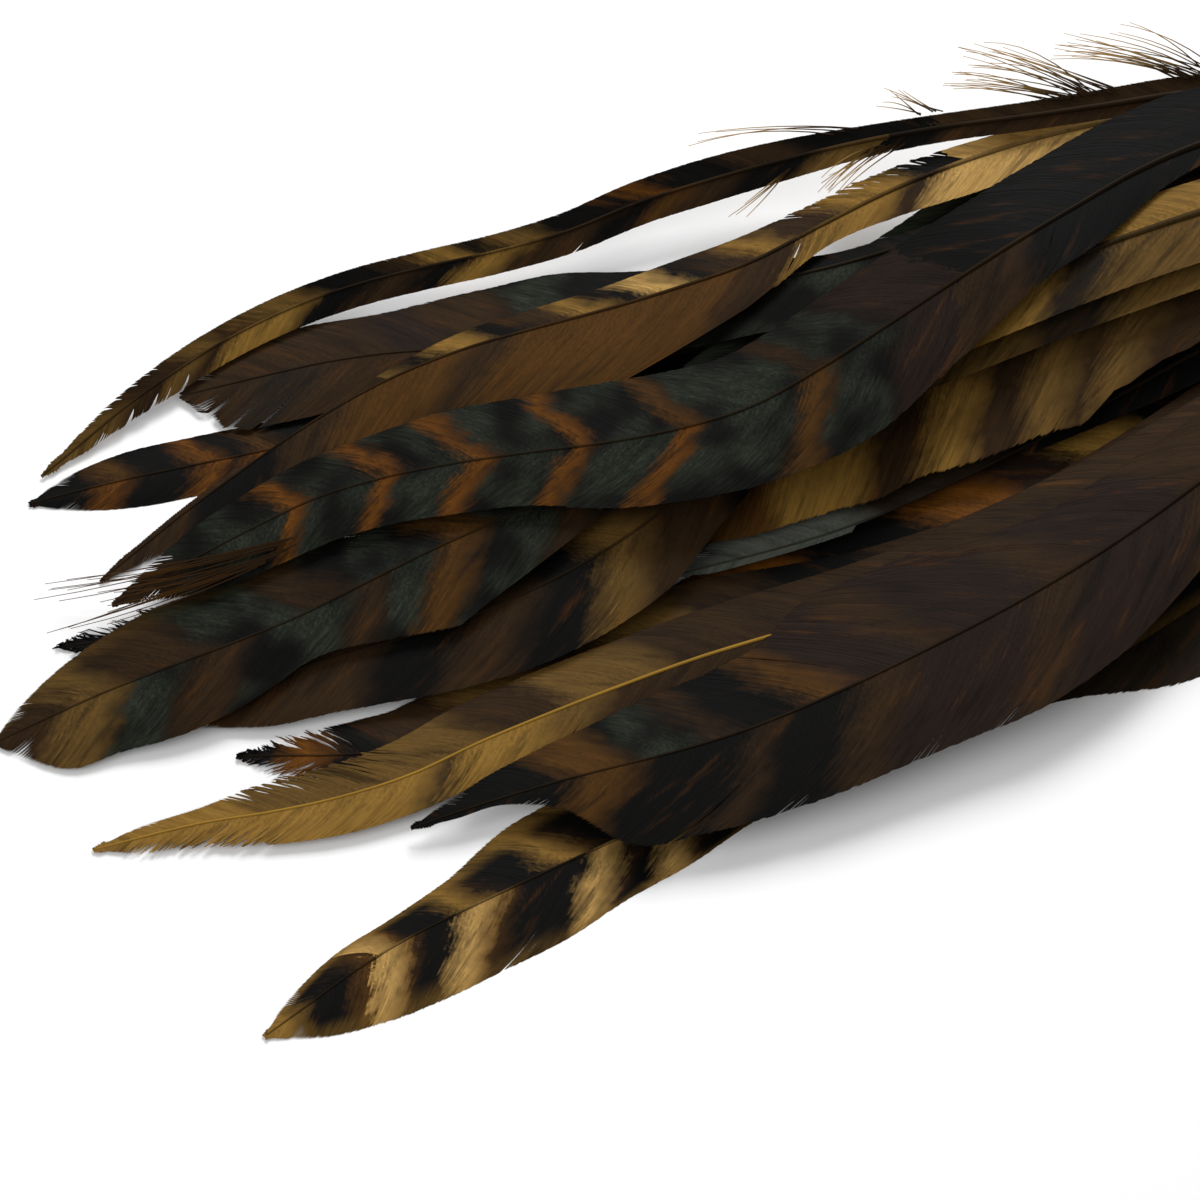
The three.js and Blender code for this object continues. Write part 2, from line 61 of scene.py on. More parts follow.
# The feathers' markings, from the lowest feather to the top one; a feather's place gives its seed.
# far and near are the half vanes: colours, each with the mm from the tip at which it ends.
# A green band is a black bar with painted green sheen over it in patches, grey is painted grey sheen,
# and purple is partly the bars' own dark purple-brown and partly painted purple sheen.
# chevron is how far a bar leans towards the tip for each mm across, half is the mm across at which a
# bar is where it is named, and soft is the mm over which two colours blend.
# splits are (side, mm, opening in mm), and frays are (side, from mm, to mm, amount).
# wisps are loose barbs: mm along and across at the root, the same at the tip, and bow in mm.
# hair is the colour of their tips. rim is a colour and an amount along a half vane's edge: a green
# rim is painted sheen, and a gold rim is partly the edge barbs' own paler colour and partly painted
# light through the thin edge.
# tone is added to the shade, gloss is the roughness, and shaft and shaft_share colour the shaft.
FEATHERS = {
    "feather_low_dark": {
        "far": "black 29, orange 35, black 90, brown 150",
        "near": "black 22, dusk 60, orange 66, dusk 110, brown 150",
    },
    "feather_bold_barred": {
        "far": (
            "gold 3, black 12, amber 13.5, straw 16.5, amber 18.5, black 27, gold 30.5, brown 32.5, "
            "black 41, gold 44.5, brown 46.5, black 54, gold 58, brown 60.5, black 70, gold 77, "
            "black 90, orange 110, black 140"
        ),
        "near": (
            "gold 3, black 12, amber 14, straw 18.5, amber 20.5, black 28, straw 32, amber 34.5, "
            "black 46, straw 49.5, brown 51.5, black 57, straw 61, brown 63, black 69, gold 77, "
            "black 92, orange 110, black 140"
        ),
        "chevron": 0.8,
        "soft": 4.2,
        # The gold rims are partly the edge barbs' own paler colour and partly painted light through the thin
        # edges.
        "rim": {"far": ("gold", 0.55), "near": ("gold", 0.3)},
        "splits": [("near", 45, 0.5)],
    },
    "feather_split_tip": {
        "far": "black 150",
        "near": "black 150",
        "splits": [("near", 6, 2.6), ("far", 9, 2.2)],
        "frays": [("near", 0, 16, 1.0), ("far", 0, 16, 1.0)],
    },
    "feather_small_barred": {
        "far": "black 8, amber 11, black 20, orange 22, black 28, amber 30, black 90, brown 140",
        "near": "black 7, orange 10.5, black 21, orange 23.5, black 28, orange 30.5, black 90, brown 140",
        "chevron": 0.8,
        "tone": -0.12,
    },
    "feather_deep_brown": {
        "far": "black 12, orange 26, black 43, orange 54, purple 64, gold 74, black 95, brown 150",
        "near": "black 14, orange 30, black 46, brown 54, purple 66, gold 72, black 95, brown 150",
    },
    "feather_ragged": {
        "far": (
            "black 4, orange 9, black 17, brown 30, olive 42, brown 52, olive 62, brown 74, black 90, "
            "brown 150"
        ),
        "near": "black 4, orange 9, black 17, brown 26, olive 38, brown 56, black 90, brown 150",
        "frays": [("near", 0, 16, 0.8), ("far", 0, 16, 0.7)],
    },
    "feather_golden": {
        "far": "gold 18, olive 50, brown 61, olive 75, brown 120",
        "near": "gold 42, dusk 45, gold 58, olive 66, brown 120",
        "shaft": "yellow",
        "shaft_share": 1.0,
        "splits": [("near", 68, 1.2), ("far", 40, 1.0)],
        "frays": [("near", 8, 27, 0.5), ("far", 24, 44, 0.45)],
    },
    "feather_purple_barred": {
        "far": (
            "black 17, amber 25, green 36, brown 39.5, black 50, amber 55, purple 66, brown 71, "
            "purple 86, brown 92, purple 108, brown 150"
        ),
        "near": (
            "black 19, amber 26, black 43, brown 46, black 57, brown 64, purple 84, brown 90, "
            "purple 108, brown 150"
        ),
        "chevron": 0.8,
        "half": 5.0,
        "splits": [("near", 25, 0.5), ("near", 50, 1.0), ("far", 62, 1.0)],
    },
    "feather_edge_on": {
        # The grey at the tip is painted grey sheen on a glossy, curled vane.
        "far": "grey 24, dusk 44, black 80, brown 150",
        "near": "grey 24, dusk 40, black 80, brown 150",
        "gloss": 0.3,
    },
    "feather_gold_back": {
        "far": "brown 9, gold 26, brown 32, straw 44, gold 60, brown 150",
        "near": "brown 12, gold 28, olive 34, gold 60, brown 150",
    },
    "feather_black_back": {
        "far": "green 44, black 150",
        "near": "purple 32, black 150",
        # The green rim is painted green sheen along the far edge.
        "rim": {"far": ("green", 0.85)},
        "gloss": 0.34,
    },
    "feather_blunt_dark": {
        "far": "brown 26, purple 34, brown 46, green 58, black 150",
        "near": "brown 8, dusk 16, brown 30, purple 50, black 66, green 90, black 150",
        "splits": [("near", 9, 1.6), ("near", 14, 1.4), ("near", 19, 1.2)],
    },
    "feather_long_brown": {
        "far": (
            "brown 26, olive 49, black 54, gold 60, black 67, brown 73, gold 77, black 83, straw 88, "
            "black 93, brown 99, gold 103, brown 112, gold 122, black 128, straw 136, gold 150"
        ),
        "near": (
            "brown 14, black 30, brown 40, amber 58, brown 64, amber 96, brown 106, gold 120, brown 127, "
            "straw 140"
        ),
        "splits": [("far", 45, 2.0)],
        "frays": [("far", 112, 130, 0.4)],
        "chevron": 1.3,
        "half": 1.5,
    },
    "feather_twisted_slim": {
        "far": (
            "olive 13, brown 25, olive 30, brown 35, olive 44, black 55, brown 61, gold 65, black 70, "
            "olive 76, black 90, orange 93, black 104, brown 112, black 128, brown 150"
        ),
        "near": (
            "olive 14, brown 21, olive 26, brown 31, gold 42, black 52, brown 58, black 66, gold 72, "
            "brown 84, black 92, amber 96, brown 104, black 114, olive 121, black 132, brown 150"
        ),
        "splits": [
            ("near", 12, 0.8), ("near", 17, 1.1), ("near", 21, 1.0), ("near", 26, 1.3), ("near", 84, 0.6),
        ],
        "frays": [("near", 0, 22, 0.15), ("far", 0, 22, 0.15)],
        "chevron": 1.7,
        "half": 1.0,
        "wisps": [
            (118, 1.5, 100, 5.6, 0.6), (131, 2, 127, 6, 0.2), (130, 2, 125, 5.0, 0.3),
            (110, -1.5, 101, -5.4, -0.4), (122, -1.5, 115, -5.6, 0.3), (123, -1.5, 114.5, -4.8, 0.2),
            (124, -1.5, 117, -5.8, 0.3), (151, 1.5, 135, 9.2, 0.5), (152, 1.5, 136, 7.8, 0.6),
            (150, 1.5, 134, 6.4, 0.4), (153, 1.5, 138, 9.6, 0.8), (149, 1.5, 136, 5.2, 0.3),
            (154, 1.5, 140, 8.4, 0.2), (148, 1.5, 133, 5.6, 0.5), (166, 2, 150, 8.6, 0.5),
            (167, 2, 152, 9.6, 0.6), (168, 2, 154, 8.2, 0.3), (165, 2, 151, 6.8, 0.2),
            (169, 2, 156, 9.8, 0.6), (164, 2, 149, 7.2, 0.9),
        ],
    },
    "feather_soft_barred": {
        "far": "amber 12, gold 28, brown 41, gold 47, brown 57, olive 64, brown 70, olive 80, brown 150",
        "near": (
            "amber 13, gold 29, brown 40, gold 48, brown 58, olive 66, brown 71, olive 78, brown 90, "
            "olive 110, brown 150"
        ),
        "chevron": 1.0,
        "half": 7.0,
        "soft": 6.0,
    },
    "feather_under_front": {
        "far": (
            "brown 28, black 40, brown 49, black 59, olive 66, brown 79, black 98, brown 112, olive 124, "
            "dusk 136, gold 148, brown 160"
        ),
        "near": (
            "olive 5, brown 28, black 40, brown 49, black 60, olive 66, brown 80, black 100, brown 112, "
            "olive 126, dusk 138, olive 160"
        ),
        "chevron": 0.8,
        "soft": 5.0,
    },
    "feather_front_wide": {
        "far": (
            "brown 8, olive 14, brown 28, green 41, brown 47, green 62, amber 67, green 78, brown 85, "
            "black 132, dusk 142, straw 154, gold 170"
        ),
        "near": (
            "brown 7, olive 15.5, green 25, brown 33, green 48, brown 53, green 60, amber 66, green 78, "
            "brown 84, black 126, dusk 136, gold 150, dusk 158, olive 170"
        ),
        "chevron": 0.8,
        "soft": 4.0,
        "rim": {"far": ("olive", 0.4)},
        "tone": -0.1,
    },
    "feather_barred_green": {
        "far": (
            "brown 10, green 26, orange 28.2, green 38.8, orange 41, green 50.5, orange 52.8, "
            "green 64.5, orange 66.8, green 78, amber 81, green 97, brown 100, green 109, purple 120, "
            "black 160"
        ),
        "near": (
            "brown 10, green 26, orange 28.4, green 38.8, orange 41.2, green 50.5, orange 53.2, "
            "green 64.5, orange 67, green 78, orange 80.8, green 96, amber 100, green 110, purple 119, "
            "brown 132, black 160"
        ),
        "chevron": 0.75,
        "soft": 3.0,
        "frays": [("far", 0, 12, 0.2), ("near", 0, 10, 0.15), ("near", 126, 146, 0.08)],
        "splits": [("near", 124, 1.0), ("near", 136, 1.2)],
        "wisps": [
            (24, -4.2, -5.5, 6.8, -1.0), (22, -4.0, -3.0, 4.6, -0.8), (20, -5.5, -1.0, -0.5, -0.6),
            (25, -5.2, -6.5, 0.4, -0.8), (18, -4.2, 1.0, 1.5, -0.4),
        ],
        "hair": "amber",
        "half": 0.5,
        "tone": -0.14,
    },
}


# What a user would change


def linear(srgb):
    """0 to 255 sRGB as linear light: c/12.92 below 0.04045, else ((c + 0.055)/1.055) to the power 2.4."""
    c = np.array(srgb, float) / 255
    return tuple(np.where(c <= 0.04045, c / 12.92, ((c + 0.055) / 1.055) ** 2.4).tolist())


def colour_setting(name, description, srgb):
    """A colour whose default is given as 0 to 255 sRGB."""
    return FloatVectorProperty(
        name=name, description=description, default=linear(srgb), size=3, min=0.0, max=1.0, subtype="COLOR"
    )


def length_setting(name, description, mm, least=0.0):
    """A length whose default and least value are given in mm."""
    return FloatProperty(
        name=name, description=description, default=mm * MM, min=least * MM, unit="LENGTH"
    )


def angle_setting(name, description, degrees):
    """An angle whose default is given in degrees."""
    return FloatProperty(name=name, description=description, default=math.radians(degrees), unit="ROTATION")


class SchlappenSettings(bpy.types.PropertyGroup):
    """Sizes of the feathers' parts."""

    barb_spacing: length_setting("Barb spacing", "Distance between barbs along the shaft", 0.38, 0.2)
    root_angle: angle_setting("Root angle", "A barb's angle from the shaft at its root", 46)
    tip_angle: angle_setting("Tip angle", "A barb's angle from the shaft at its tip", 20)
    ridge: length_setting("Barb ridge", "Height of a barb's ridge", 0.03)
    down_from: length_setting("Down from", "Distance from the quill's end at which the barbs turn loose", 44)
    seed: IntProperty(name="Seed", description="Seed of every random choice", default=7, min=0)


class SchlappenColours(bpy.types.PropertyGroup):
    """The plumage's few colours."""

    black: colour_setting("Black", "Dark bars", (12, 11, 10))
    # Painted green sheen, laid in patches over the dark bars.
    green: colour_setting("Green", "Green sheen on the dark bars", (52, 58, 47))
    # Partly the bars' own dark purple-brown and partly painted purple sheen.
    purple: colour_setting("Purple", "Purple-grey sheen", (35, 25, 20))
    brown: colour_setting("Brown", "Ground between the bars", (46, 32, 18))
    orange: colour_setting("Orange", "Orange-brown bars", (100, 60, 17))
    gold: colour_setting("Gold", "Pale bars", (130, 98, 44))
    olive: colour_setting("Olive", "Olive gold", (92, 69, 33))
    straw: colour_setting("Straw", "Brightest pale bars", (180, 143, 82))
    amber: colour_setting("Amber", "Plain orange-brown vane", (72, 47, 18))
    dusk: colour_setting("Dusk", "Dark soft bars", (36, 29, 21))
    # Painted grey sheen, standing for highlights on the glossy edge-on vane.
    grey: colour_setting("Grey", "Grey glossy vane", (84, 87, 80))
    yellow: colour_setting("Yellow", "Yellow shaft", (150, 114, 46))
    horn: colour_setting("Horn", "Bare quill", (178, 156, 112))
    shaft: colour_setting("Shaft", "Dark shaft", (34, 25, 14))
    down: colour_setting("Down", "Loose down near the quill", (84, 70, 50))
    cotton: colour_setting("Cotton", "String", (212, 200, 168))


class SchlappenStage(bpy.types.PropertyGroup):
    """The camera, lights and floor."""

    elevation: angle_setting("Elevation", "Camera's angle above the floor", 60)
    azimuth: angle_setting("Azimuth", "Camera's turn round the bunch", -21)
    distance: length_setting("Distance", "Camera to the middle of the picture", 800)
    width: length_setting("Width in view", "Width that the picture spans there", 156)
    key: FloatProperty(
        name="Key light", description="Power of the large soft light", default=9.5, min=0.0, unit="POWER"
    )
    fill: FloatProperty(name="Sky", description="Strength of the even light all round", default=0.36, min=0.0)
    floor: colour_setting("Floor", "Colour of the floor", (253, 253, 253))


# Reading the solids


def merged(node):
    """Points and triangles of a CAD node, with points at one place made one."""
    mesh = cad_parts[node].data
    points = np.empty(len(mesh.vertices) * 3, np.float32)
    mesh.vertices.foreach_get("co", points)
    points = points.reshape(-1, 3).astype(float)
    corners = np.empty(len(mesh.loops), np.int32)
    mesh.loops.foreach_get("vertex_index", corners)
    _, first, place = np.unique(
        np.round(points / MM * 1000).astype(np.int64), axis=0, return_index=True, return_inverse=True
    )
    return points[first], place.reshape(-1)[corners].reshape(-1, 3)


def sections(node):
    """A feather's sections from tip to quill as a (count, 8, 3) array, and its two end points.

    A point's section is its number of edges from the tip's pole. The middle section is put in order
    by place across: far edge, far top, shaft top, near top, near edge, and back underneath. Each next
    section's corner is the one that shares an edge with two neighbouring corners of the last.
    """
    points, triangles = merged(node)
    count = len(points)
    linked = np.zeros((count, count), bool)
    for a, b in ((0, 1), (1, 2), (2, 0)):
        linked[triangles[:, a], triangles[:, b]] = linked[triangles[:, b], triangles[:, a]] = True
    poles = np.flatnonzero(linked.sum(1) == CORNERS)
    poles = poles[np.argsort(points[poles, 0])]
    tip, end = poles[0], poles[-1]
    level = np.full(count, -1)
    level[tip] = 0
    step = 0
    while (level < 0).any():
        reached = linked[level == step].any(0) & (level < 0)
        step += 1
        level[reached] = step
    rings = step - 1
    order = np.empty((rings, CORNERS), int)
    start = rings // 2
    members = np.flatnonzero(level == start + 1)
    along = points[level == start + 2].mean(0) - points[level == start].mean(0)
    across = points[members] @ np.array([-along[1], along[0], 0.0])
    by_place = members[np.argsort(-across)]
    pairs = by_place[1:7].reshape(3, 2)
    top = np.take_along_axis(pairs, points[pairs][:, :, 2].argmax(1)[:, None], 1)[:, 0]
    low = np.take_along_axis(pairs, points[pairs][:, :, 2].argmin(1)[:, None], 1)[:, 0]
    order[start] = [by_place[0], *top, by_place[7], *low[::-1]]
    for way, stop in ((1, rings), (-1, -1)):
        for r in range(start + way, stop, way):
            nxt, last = np.flatnonzero(level == r + 1), order[r - way]
            shared = linked[last][:, nxt] & linked[np.roll(last, way)][:, nxt]
            order[r] = nxt[shared.argmax(1)]
    return points[order], points[tip], points[end]


def unit(vectors, least=0.0):
    """The vectors at length 1; least keeps one of no length from a division by 0."""
    return vectors / (np.linalg.norm(vectors, axis=-1, keepdims=True) + least)


def run_along(line):
    """The distance along a line at each of its points."""
    return np.concatenate([[0.0], np.cumsum(np.linalg.norm(np.diff(line, axis=0), axis=1))])


def smooth(stations, values, at):
    """Values at any place between stations: a cubic between each two, with a slope at a station equal
    to the line through its neighbours. values is (stations, n); at may have any shape."""
    slope = np.gradient(values, stations, axis=0)
    i = np.clip(np.searchsorted(stations, at, side="right") - 1, 0, len(stations) - 2)
    gap = (stations[i + 1] - stations[i])[..., None]
    t = np.clip((at[..., None] - stations[i][..., None]) / gap, 0, 1)
    h00, h10 = 2 * t**3 - 3 * t**2 + 1, t**3 - 2 * t**2 + t
    h01, h11 = -2 * t**3 + 3 * t**2, t**3 - t**2
    return h00 * values[i] + h10 * gap * slope[i] + h01 * values[i + 1] + h11 * gap * slope[i + 1]


# The shaft's radius at the tip and at the quill's end, as a share of the nearest section's
TIP_SHARE = 0.5
END_SHARE = 0.4


class Vane:
    """The skin of a feather's solid as a function of distance from the tip and place across."""

    def __init__(self, node):
        """Stations along the shaft with its middle and radius, and each side's edge and halfway point."""
        rings, tip, end = sections(node)
        middle = (rings[:, 2] + rings[:, 6]) / 2
        radius = np.linalg.norm(rings[:, 2] - rings[:, 6], axis=1) / 2
        line = np.concatenate([tip[None], middle, end[None]])
        self.stations = run_along(line)
        self.length = self.stations[-1]
        self.line = line
        ends = np.zeros((1, 3))
        self.radius = np.concatenate([[radius[0] * TIP_SHARE], radius, [radius[-1] * END_SHARE]])[:, None]
        self.edge, self.half = {}, {}
        for side, (rim, top, low) in {"far": (0, 1, 7), "near": (4, 3, 5)}.items():
            self.edge[side] = np.concatenate([ends, rings[:, rim] - middle, ends])
            self.half[side] = np.concatenate([ends, (rings[:, top] + rings[:, low]) / 2 - middle, ends])

    def shaft(self, s):
        """The shaft's middle at distance s from the tip."""
        return smooth(self.stations, self.line, s)

    def along(self, s):
        """The shaft's direction towards the quill, from the places 1 mm either side."""
        return unit(self.shaft(s + MM) - self.shaft(s - MM))

    def width(self, side, s):
        """The half vane's width at s."""
        return np.linalg.norm(smooth(self.stations, self.edge[side], s), axis=-1)

    def point(self, side, s, v):
        """A point of the half vane: a parabola through the shaft, v 0, the middle and the edge, v 1."""
        v = v[..., None]
        edge = smooth(self.stations, self.edge[side], s)
        half = smooth(self.stations, self.half[side], s)
        return self.shaft(s) + half * 4 * v * (1 - v) + edge * v * (2 * v - 1)


# Building meshes

# A line steeper than STEEP takes another first direction across. A tube's pole stands POLE of its
# radius past its end, and its end fans take FAN_SHARE of a strip FAN_STRIP of the UV box long.
STEEP = 0.95
POLE = 0.6
FAN_STRIP = 0.04
FAN_SHARE = 0.8


def put_mesh(name, points, faces, attributes, uv, soft):
    """A mesh object from arrays: faces is a list of (count, corners) index arrays, attributes are one
    number a point, uv one pair a face corner in the faces' order, and soft says for each list of
    faces whether it is shaded smooth."""
    mesh = bpy.data.meshes.new(name)
    sizes = np.concatenate([np.full(len(f), f.shape[1], np.int32) for f in faces])
    corners = np.concatenate([f.reshape(-1) for f in faces]).astype(np.int32)
    mesh.vertices.add(len(points))
    mesh.vertices.foreach_set("co", points.astype(np.float32).reshape(-1))
    mesh.loops.add(len(corners))
    mesh.loops.foreach_set("vertex_index", corners)
    mesh.polygons.add(len(sizes))
    mesh.polygons.foreach_set("loop_start", np.concatenate([[0], np.cumsum(sizes)[:-1]]).astype(np.int32))
    mesh.polygons.foreach_set("loop_total", sizes)
    mesh.polygons.foreach_set("use_smooth", np.repeat(soft, [len(f) for f in faces]))
    for key, values in attributes.items():
        mesh.attributes.new(key, "FLOAT", "POINT").data.foreach_set("value", values.astype(np.float32))
    mesh.uv_layers.new(name="OFBake").data.foreach_set("uv", uv.astype(np.float32).reshape(-1))
    mesh.update(calc_edges=True)
    if mesh.validate():
        raise RuntimeError(f"{name} had faces that had to be repaired")
    made = bpy.data.objects.new(name, mesh)
    bpy.context.scene.collection.objects.link(made)
    return made


def tube(centres, radii, corners, lobes=0, depth=0.0, turns=0.0):
    """A closed tube along a line, with a pole at both ends.

    A corner at angle a stands off the line by its radius times
    1 - depth + depth·|cos(lobes·(a - twist)/2)|, where the twist grows to turns whole turns. The
    directions across come from z at each station, or from y where the line is steep. Returns points,
    quads and end triangles.
    """
    count = len(centres)
    along = unit(np.gradient(centres, axis=0))
    up = np.tile([0.0, 0.0, 1.0], (count, 1))
    up[np.abs(along[:, 2]) > STEEP] = [0.0, 1.0, 0.0]
    side = unit(np.cross(up, along))
    over = np.cross(along, side)
    angle = 2 * np.pi * np.arange(corners) / corners
    twist = 2 * np.pi * turns * np.linspace(0, 1, count)[:, None]
    stand = np.ones((count, corners))
    if lobes:
        stand = 1 - depth + depth * np.abs(np.cos(lobes * (angle - twist) / 2))
    out = side[:, None] * np.cos(angle)[:, None] + over[:, None] * np.sin(angle)[:, None]
    rings = centres[:, None] + out * (radii[:, None] * stand)[..., None]
    points = np.concatenate([rings.reshape(-1, 3), centres[:1], centres[-1:]])
    points[-2] -= along[0] * radii[0] * POLE
    points[-1] += along[-1] * radii[-1] * POLE
    ring = np.arange(count - 1)[:, None] * corners
    k = np.arange(corners)[None]
    nxt = (k + 1) % corners
    quads = np.stack([ring + k, ring + nxt, ring + corners + nxt, ring + corners + k], -1).reshape(-1, 4)
    k, nxt = k[0], nxt[0]
    last = (count - 1) * corners
    caps = np.concatenate([
        np.stack([np.full(corners, count * corners), nxt, k], -1),
        np.stack([np.full(corners, count * corners + 1), last + k, last + nxt], -1),
    ])
    return points, quads, caps


def faces_uv(*corners):
    """The UVs of faces as (face, corner, 2), from each corner's u and v over all the faces."""
    return np.stack([np.stack(np.broadcast_arrays(u, v), -1) for u, v in corners], 1)


def tube_uv(count, corners, box):
    """The unrolled tube in a box (u0, v0, u1, v1): along in u, round in v, its two end fans in strips
    at the box's ends."""
    u0, v0, u1, v1 = box
    pad = (u1 - u0) * FAN_STRIP
    u = np.linspace(u0 + pad, u1 - pad, count)
    v = np.linspace(v0, v1, corners + 1)
    i, k = np.indices((count - 1, corners)).reshape(2, -1)
    quads = faces_uv((u[i], v[k]), (u[i], v[k + 1]), (u[i + 1], v[k + 1]), (u[i + 1], v[k]))
    j = np.arange(corners)
    middle = (v[j] + v[j + 1]) / 2
    start, stop = u0 + pad * FAN_SHARE, u1 - pad * FAN_SHARE
    first = faces_uv((u0, middle), (start, v[j + 1]), (start, v[j]))
    last = faces_uv((u1, middle), (stop, v[j]), (stop, v[j + 1]))
    return np.concatenate([part.reshape(-1, 2) for part in (quads, first, last)])


def smoothstep(low, high, x):
    """0 below low, 1 above high, and 3t² - 2t³ between."""
    t = np.clip((x - low) / (high - low), 0, 1)
    return t * t * (3 - 2 * t)


# Growing a feather

# Barbs are traced in TRACE steps of TRACE_STEP, turning to their tip's angle over REACH times the
# vane's width REACH_BACK nearer the tip, and kept as SEGMENTS pieces by the power SPACING. They stand
# from FIRST_ROOT on, with random roots by ROOT_JITTER of a spacing.
SEGMENTS = 6
SPACING = 0.9
TRACE = 160
TRACE_STEP = 0.3 * MM
REACH = 1.9
REACH_BACK = 6 * MM
FIRST_ROOT = 0.8 * MM
ROOT_JITTER = 0.15
BARE_QUILL = 19 * MM
SHORTEST_BARB = 2.2 * MM
SHORT_TIP = 25 * MM

# Barbs turn together in groups GROUP long, by GROUP_TURN degrees, and loose ones by WILD_TURN more.
# The down comes in over DOWN_FADE and opens the root and tip angles by DOWN_TURNS.
GROUP = 2.2 * MM
GROUP_TURN = 0.8
WILD_TURN = 6
DOWN_FADE = 14 * MM
DOWN_TURNS = (math.radians(8), math.radians(16))

# A fray comes in from FRAY_IN before to FRAY_FULL after its start, and goes over FRAY_OUT. Its barbs
# are wild by FRAY_WILD of its amount.
FRAY_IN = 3 * MM
FRAY_FULL = 1 * MM
FRAY_OUT = 4 * MM
FRAY_WILD = 0.8

# Named splits fade over SPLIT_FADE. Up to SMALL_SPLITS more come at random gaps and openings.
SPLIT_FADE = 5 * MM
SMALL_FADE = 3 * MM
SMALL_SPLITS = 60
SMALL_GAPS = (7, 26)
SMALL_OPENINGS = (0.03, 0.3)
LEAN_POWER = 1.5

# Barbs are cut to CUT of their length, and wild ones by TORN_CUT more. Wild ones curl CURL mm in
# CURL_TURN radians, from a random place in CURL_START less CURL_BIAS, and lift by WILD_LIFT mm.
# All lift by about LIFT mm.
CUT = (0.99, 1.01)
TORN_CUT = (-0.3, 0.22)
CURL = 0.6
CURL_TURN = (4, 9)
CURL_START = (0, 6.3)
CURL_BIAS = 0.3
LIFT = 0.012
WILD_LIFT = (-0.25, 0.75)

# Ribbons: loose ones are slimmer by LOOSE_SLIM, frayed ones by FRAY_SLIM, and torn ones by TORN_SLIM
# more from TORN_FROM on. The ridge falls by RIDGE_FALL to the tip, an end is slanted by SLANT_SHARE of
# its barb at most, and no corner is lower than its part of LOWEST.
RIBBON_CORNERS = 3
RIBBON_OVERLAP = 1.9
RIBBON_TILT = math.radians(5)
TILT_SPREAD = 0.25
FLAT_ANGLES = (0.25, 1.4)
LOOSE_SLIM = 0.62
FRAY_SLIM = 0.35
TORN_SLIM = 0.6
TORN_FROM = 0.84
RIDGE_FALL = 0.6
SLANT_SHARE = 0.12
LOW_PARTS = np.array([0.6, 1.4, 0.6])
LOWEST = 0.05 * MM
TINY = 1e-12

# The shaft's tube
SHAFT_CORNERS = 10
SHAFT_STATIONS = 90
SHAFT_SLIM = 0.55
SHAFT_GAP = 0.02

# Loose barbs: each named one is HAIRS hairs, spread at random by WISP_SPREAD, HAIR_HALF mm half wide
WISP_MARK = 2.0
HAIRS = 4
WISP_SPREAD = [1.0, 0.1, 1.3, 0.7, 0.3]
HAIR_HALF = 0.12
HAIR_SLIM = 0.6


def fray_amounts(side, spec, roots):
    """How frayed the half vane is at each root."""
    fray = np.zeros(len(roots))
    for which, start, stop, amount in spec.get("frays", []):
        if which == side:
            here = smoothstep(start * MM - FRAY_IN, start * MM + FRAY_FULL, roots)
            gone = smoothstep(stop * MM, stop * MM + FRAY_OUT, roots)
            fray = np.maximum(fray, amount * here * (1 - gone))
    return fray


def split_leans(side, spec, roots, random):
    """How far each barb leans away from the splits: half the opening next to one, fading along."""
    places = np.cumsum(random.uniform(*SMALL_GAPS, SMALL_SPLITS)) * MM
    openings = random.uniform(*SMALL_OPENINGS, SMALL_SPLITS) * MM
    named = [(mm, opening) for which, mm, opening in spec.get("splits", []) if which == side]
    splits = [(mm * MM, opening * MM, SPLIT_FADE) for mm, opening in named]
    splits += [(place, opening, SMALL_FADE) for place, opening in zip(places, openings)]
    lean = np.zeros(len(roots))
    for place, opening, fade in splits:
        off = roots - place
        lean += np.sign(off) * opening / 2 * np.exp(-np.abs(off) / fade)
    return lean


def trace(vane, side, roots, at_root, at_tip):
    """Each barb's places and angles by steps, and its length up to the solid's edge.

    A barb leaves the shaft at the root angle and bends evenly to the tip angle over its length, so
    ds = -cos(angle)·dt and dx = sin(angle)·dt. It ends where x passes the solid's width at s.
    """
    width = vane.width(side, np.clip(roots - REACH_BACK, 0.5 * MM, None))
    reach = np.maximum(width, 1 * MM) * REACH
    t = np.arange(TRACE) * TRACE_STEP
    angle = at_root[:, None] + (at_tip - at_root)[:, None] * np.clip(t[None] / reach[:, None], 0, 1.2)
    s = roots[:, None] - np.cumsum(np.cos(angle), 1) * TRACE_STEP
    x = np.cumsum(np.sin(angle), 1) * TRACE_STEP
    spare = vane.width(side, np.clip(s, 0, vane.length)) - x
    outside = (spare < 0) | (s < 0)
    outside[:, -1] = True
    last = np.maximum(outside.argmax(1), 1)
    row = np.arange(len(roots))
    inner, outer = spare[row, last - 1], spare[row, last]
    share = np.clip(inner / np.maximum(inner - outer, 1e-9), 0, 1)
    return s, x, angle, (last - 1 + share) * TRACE_STEP


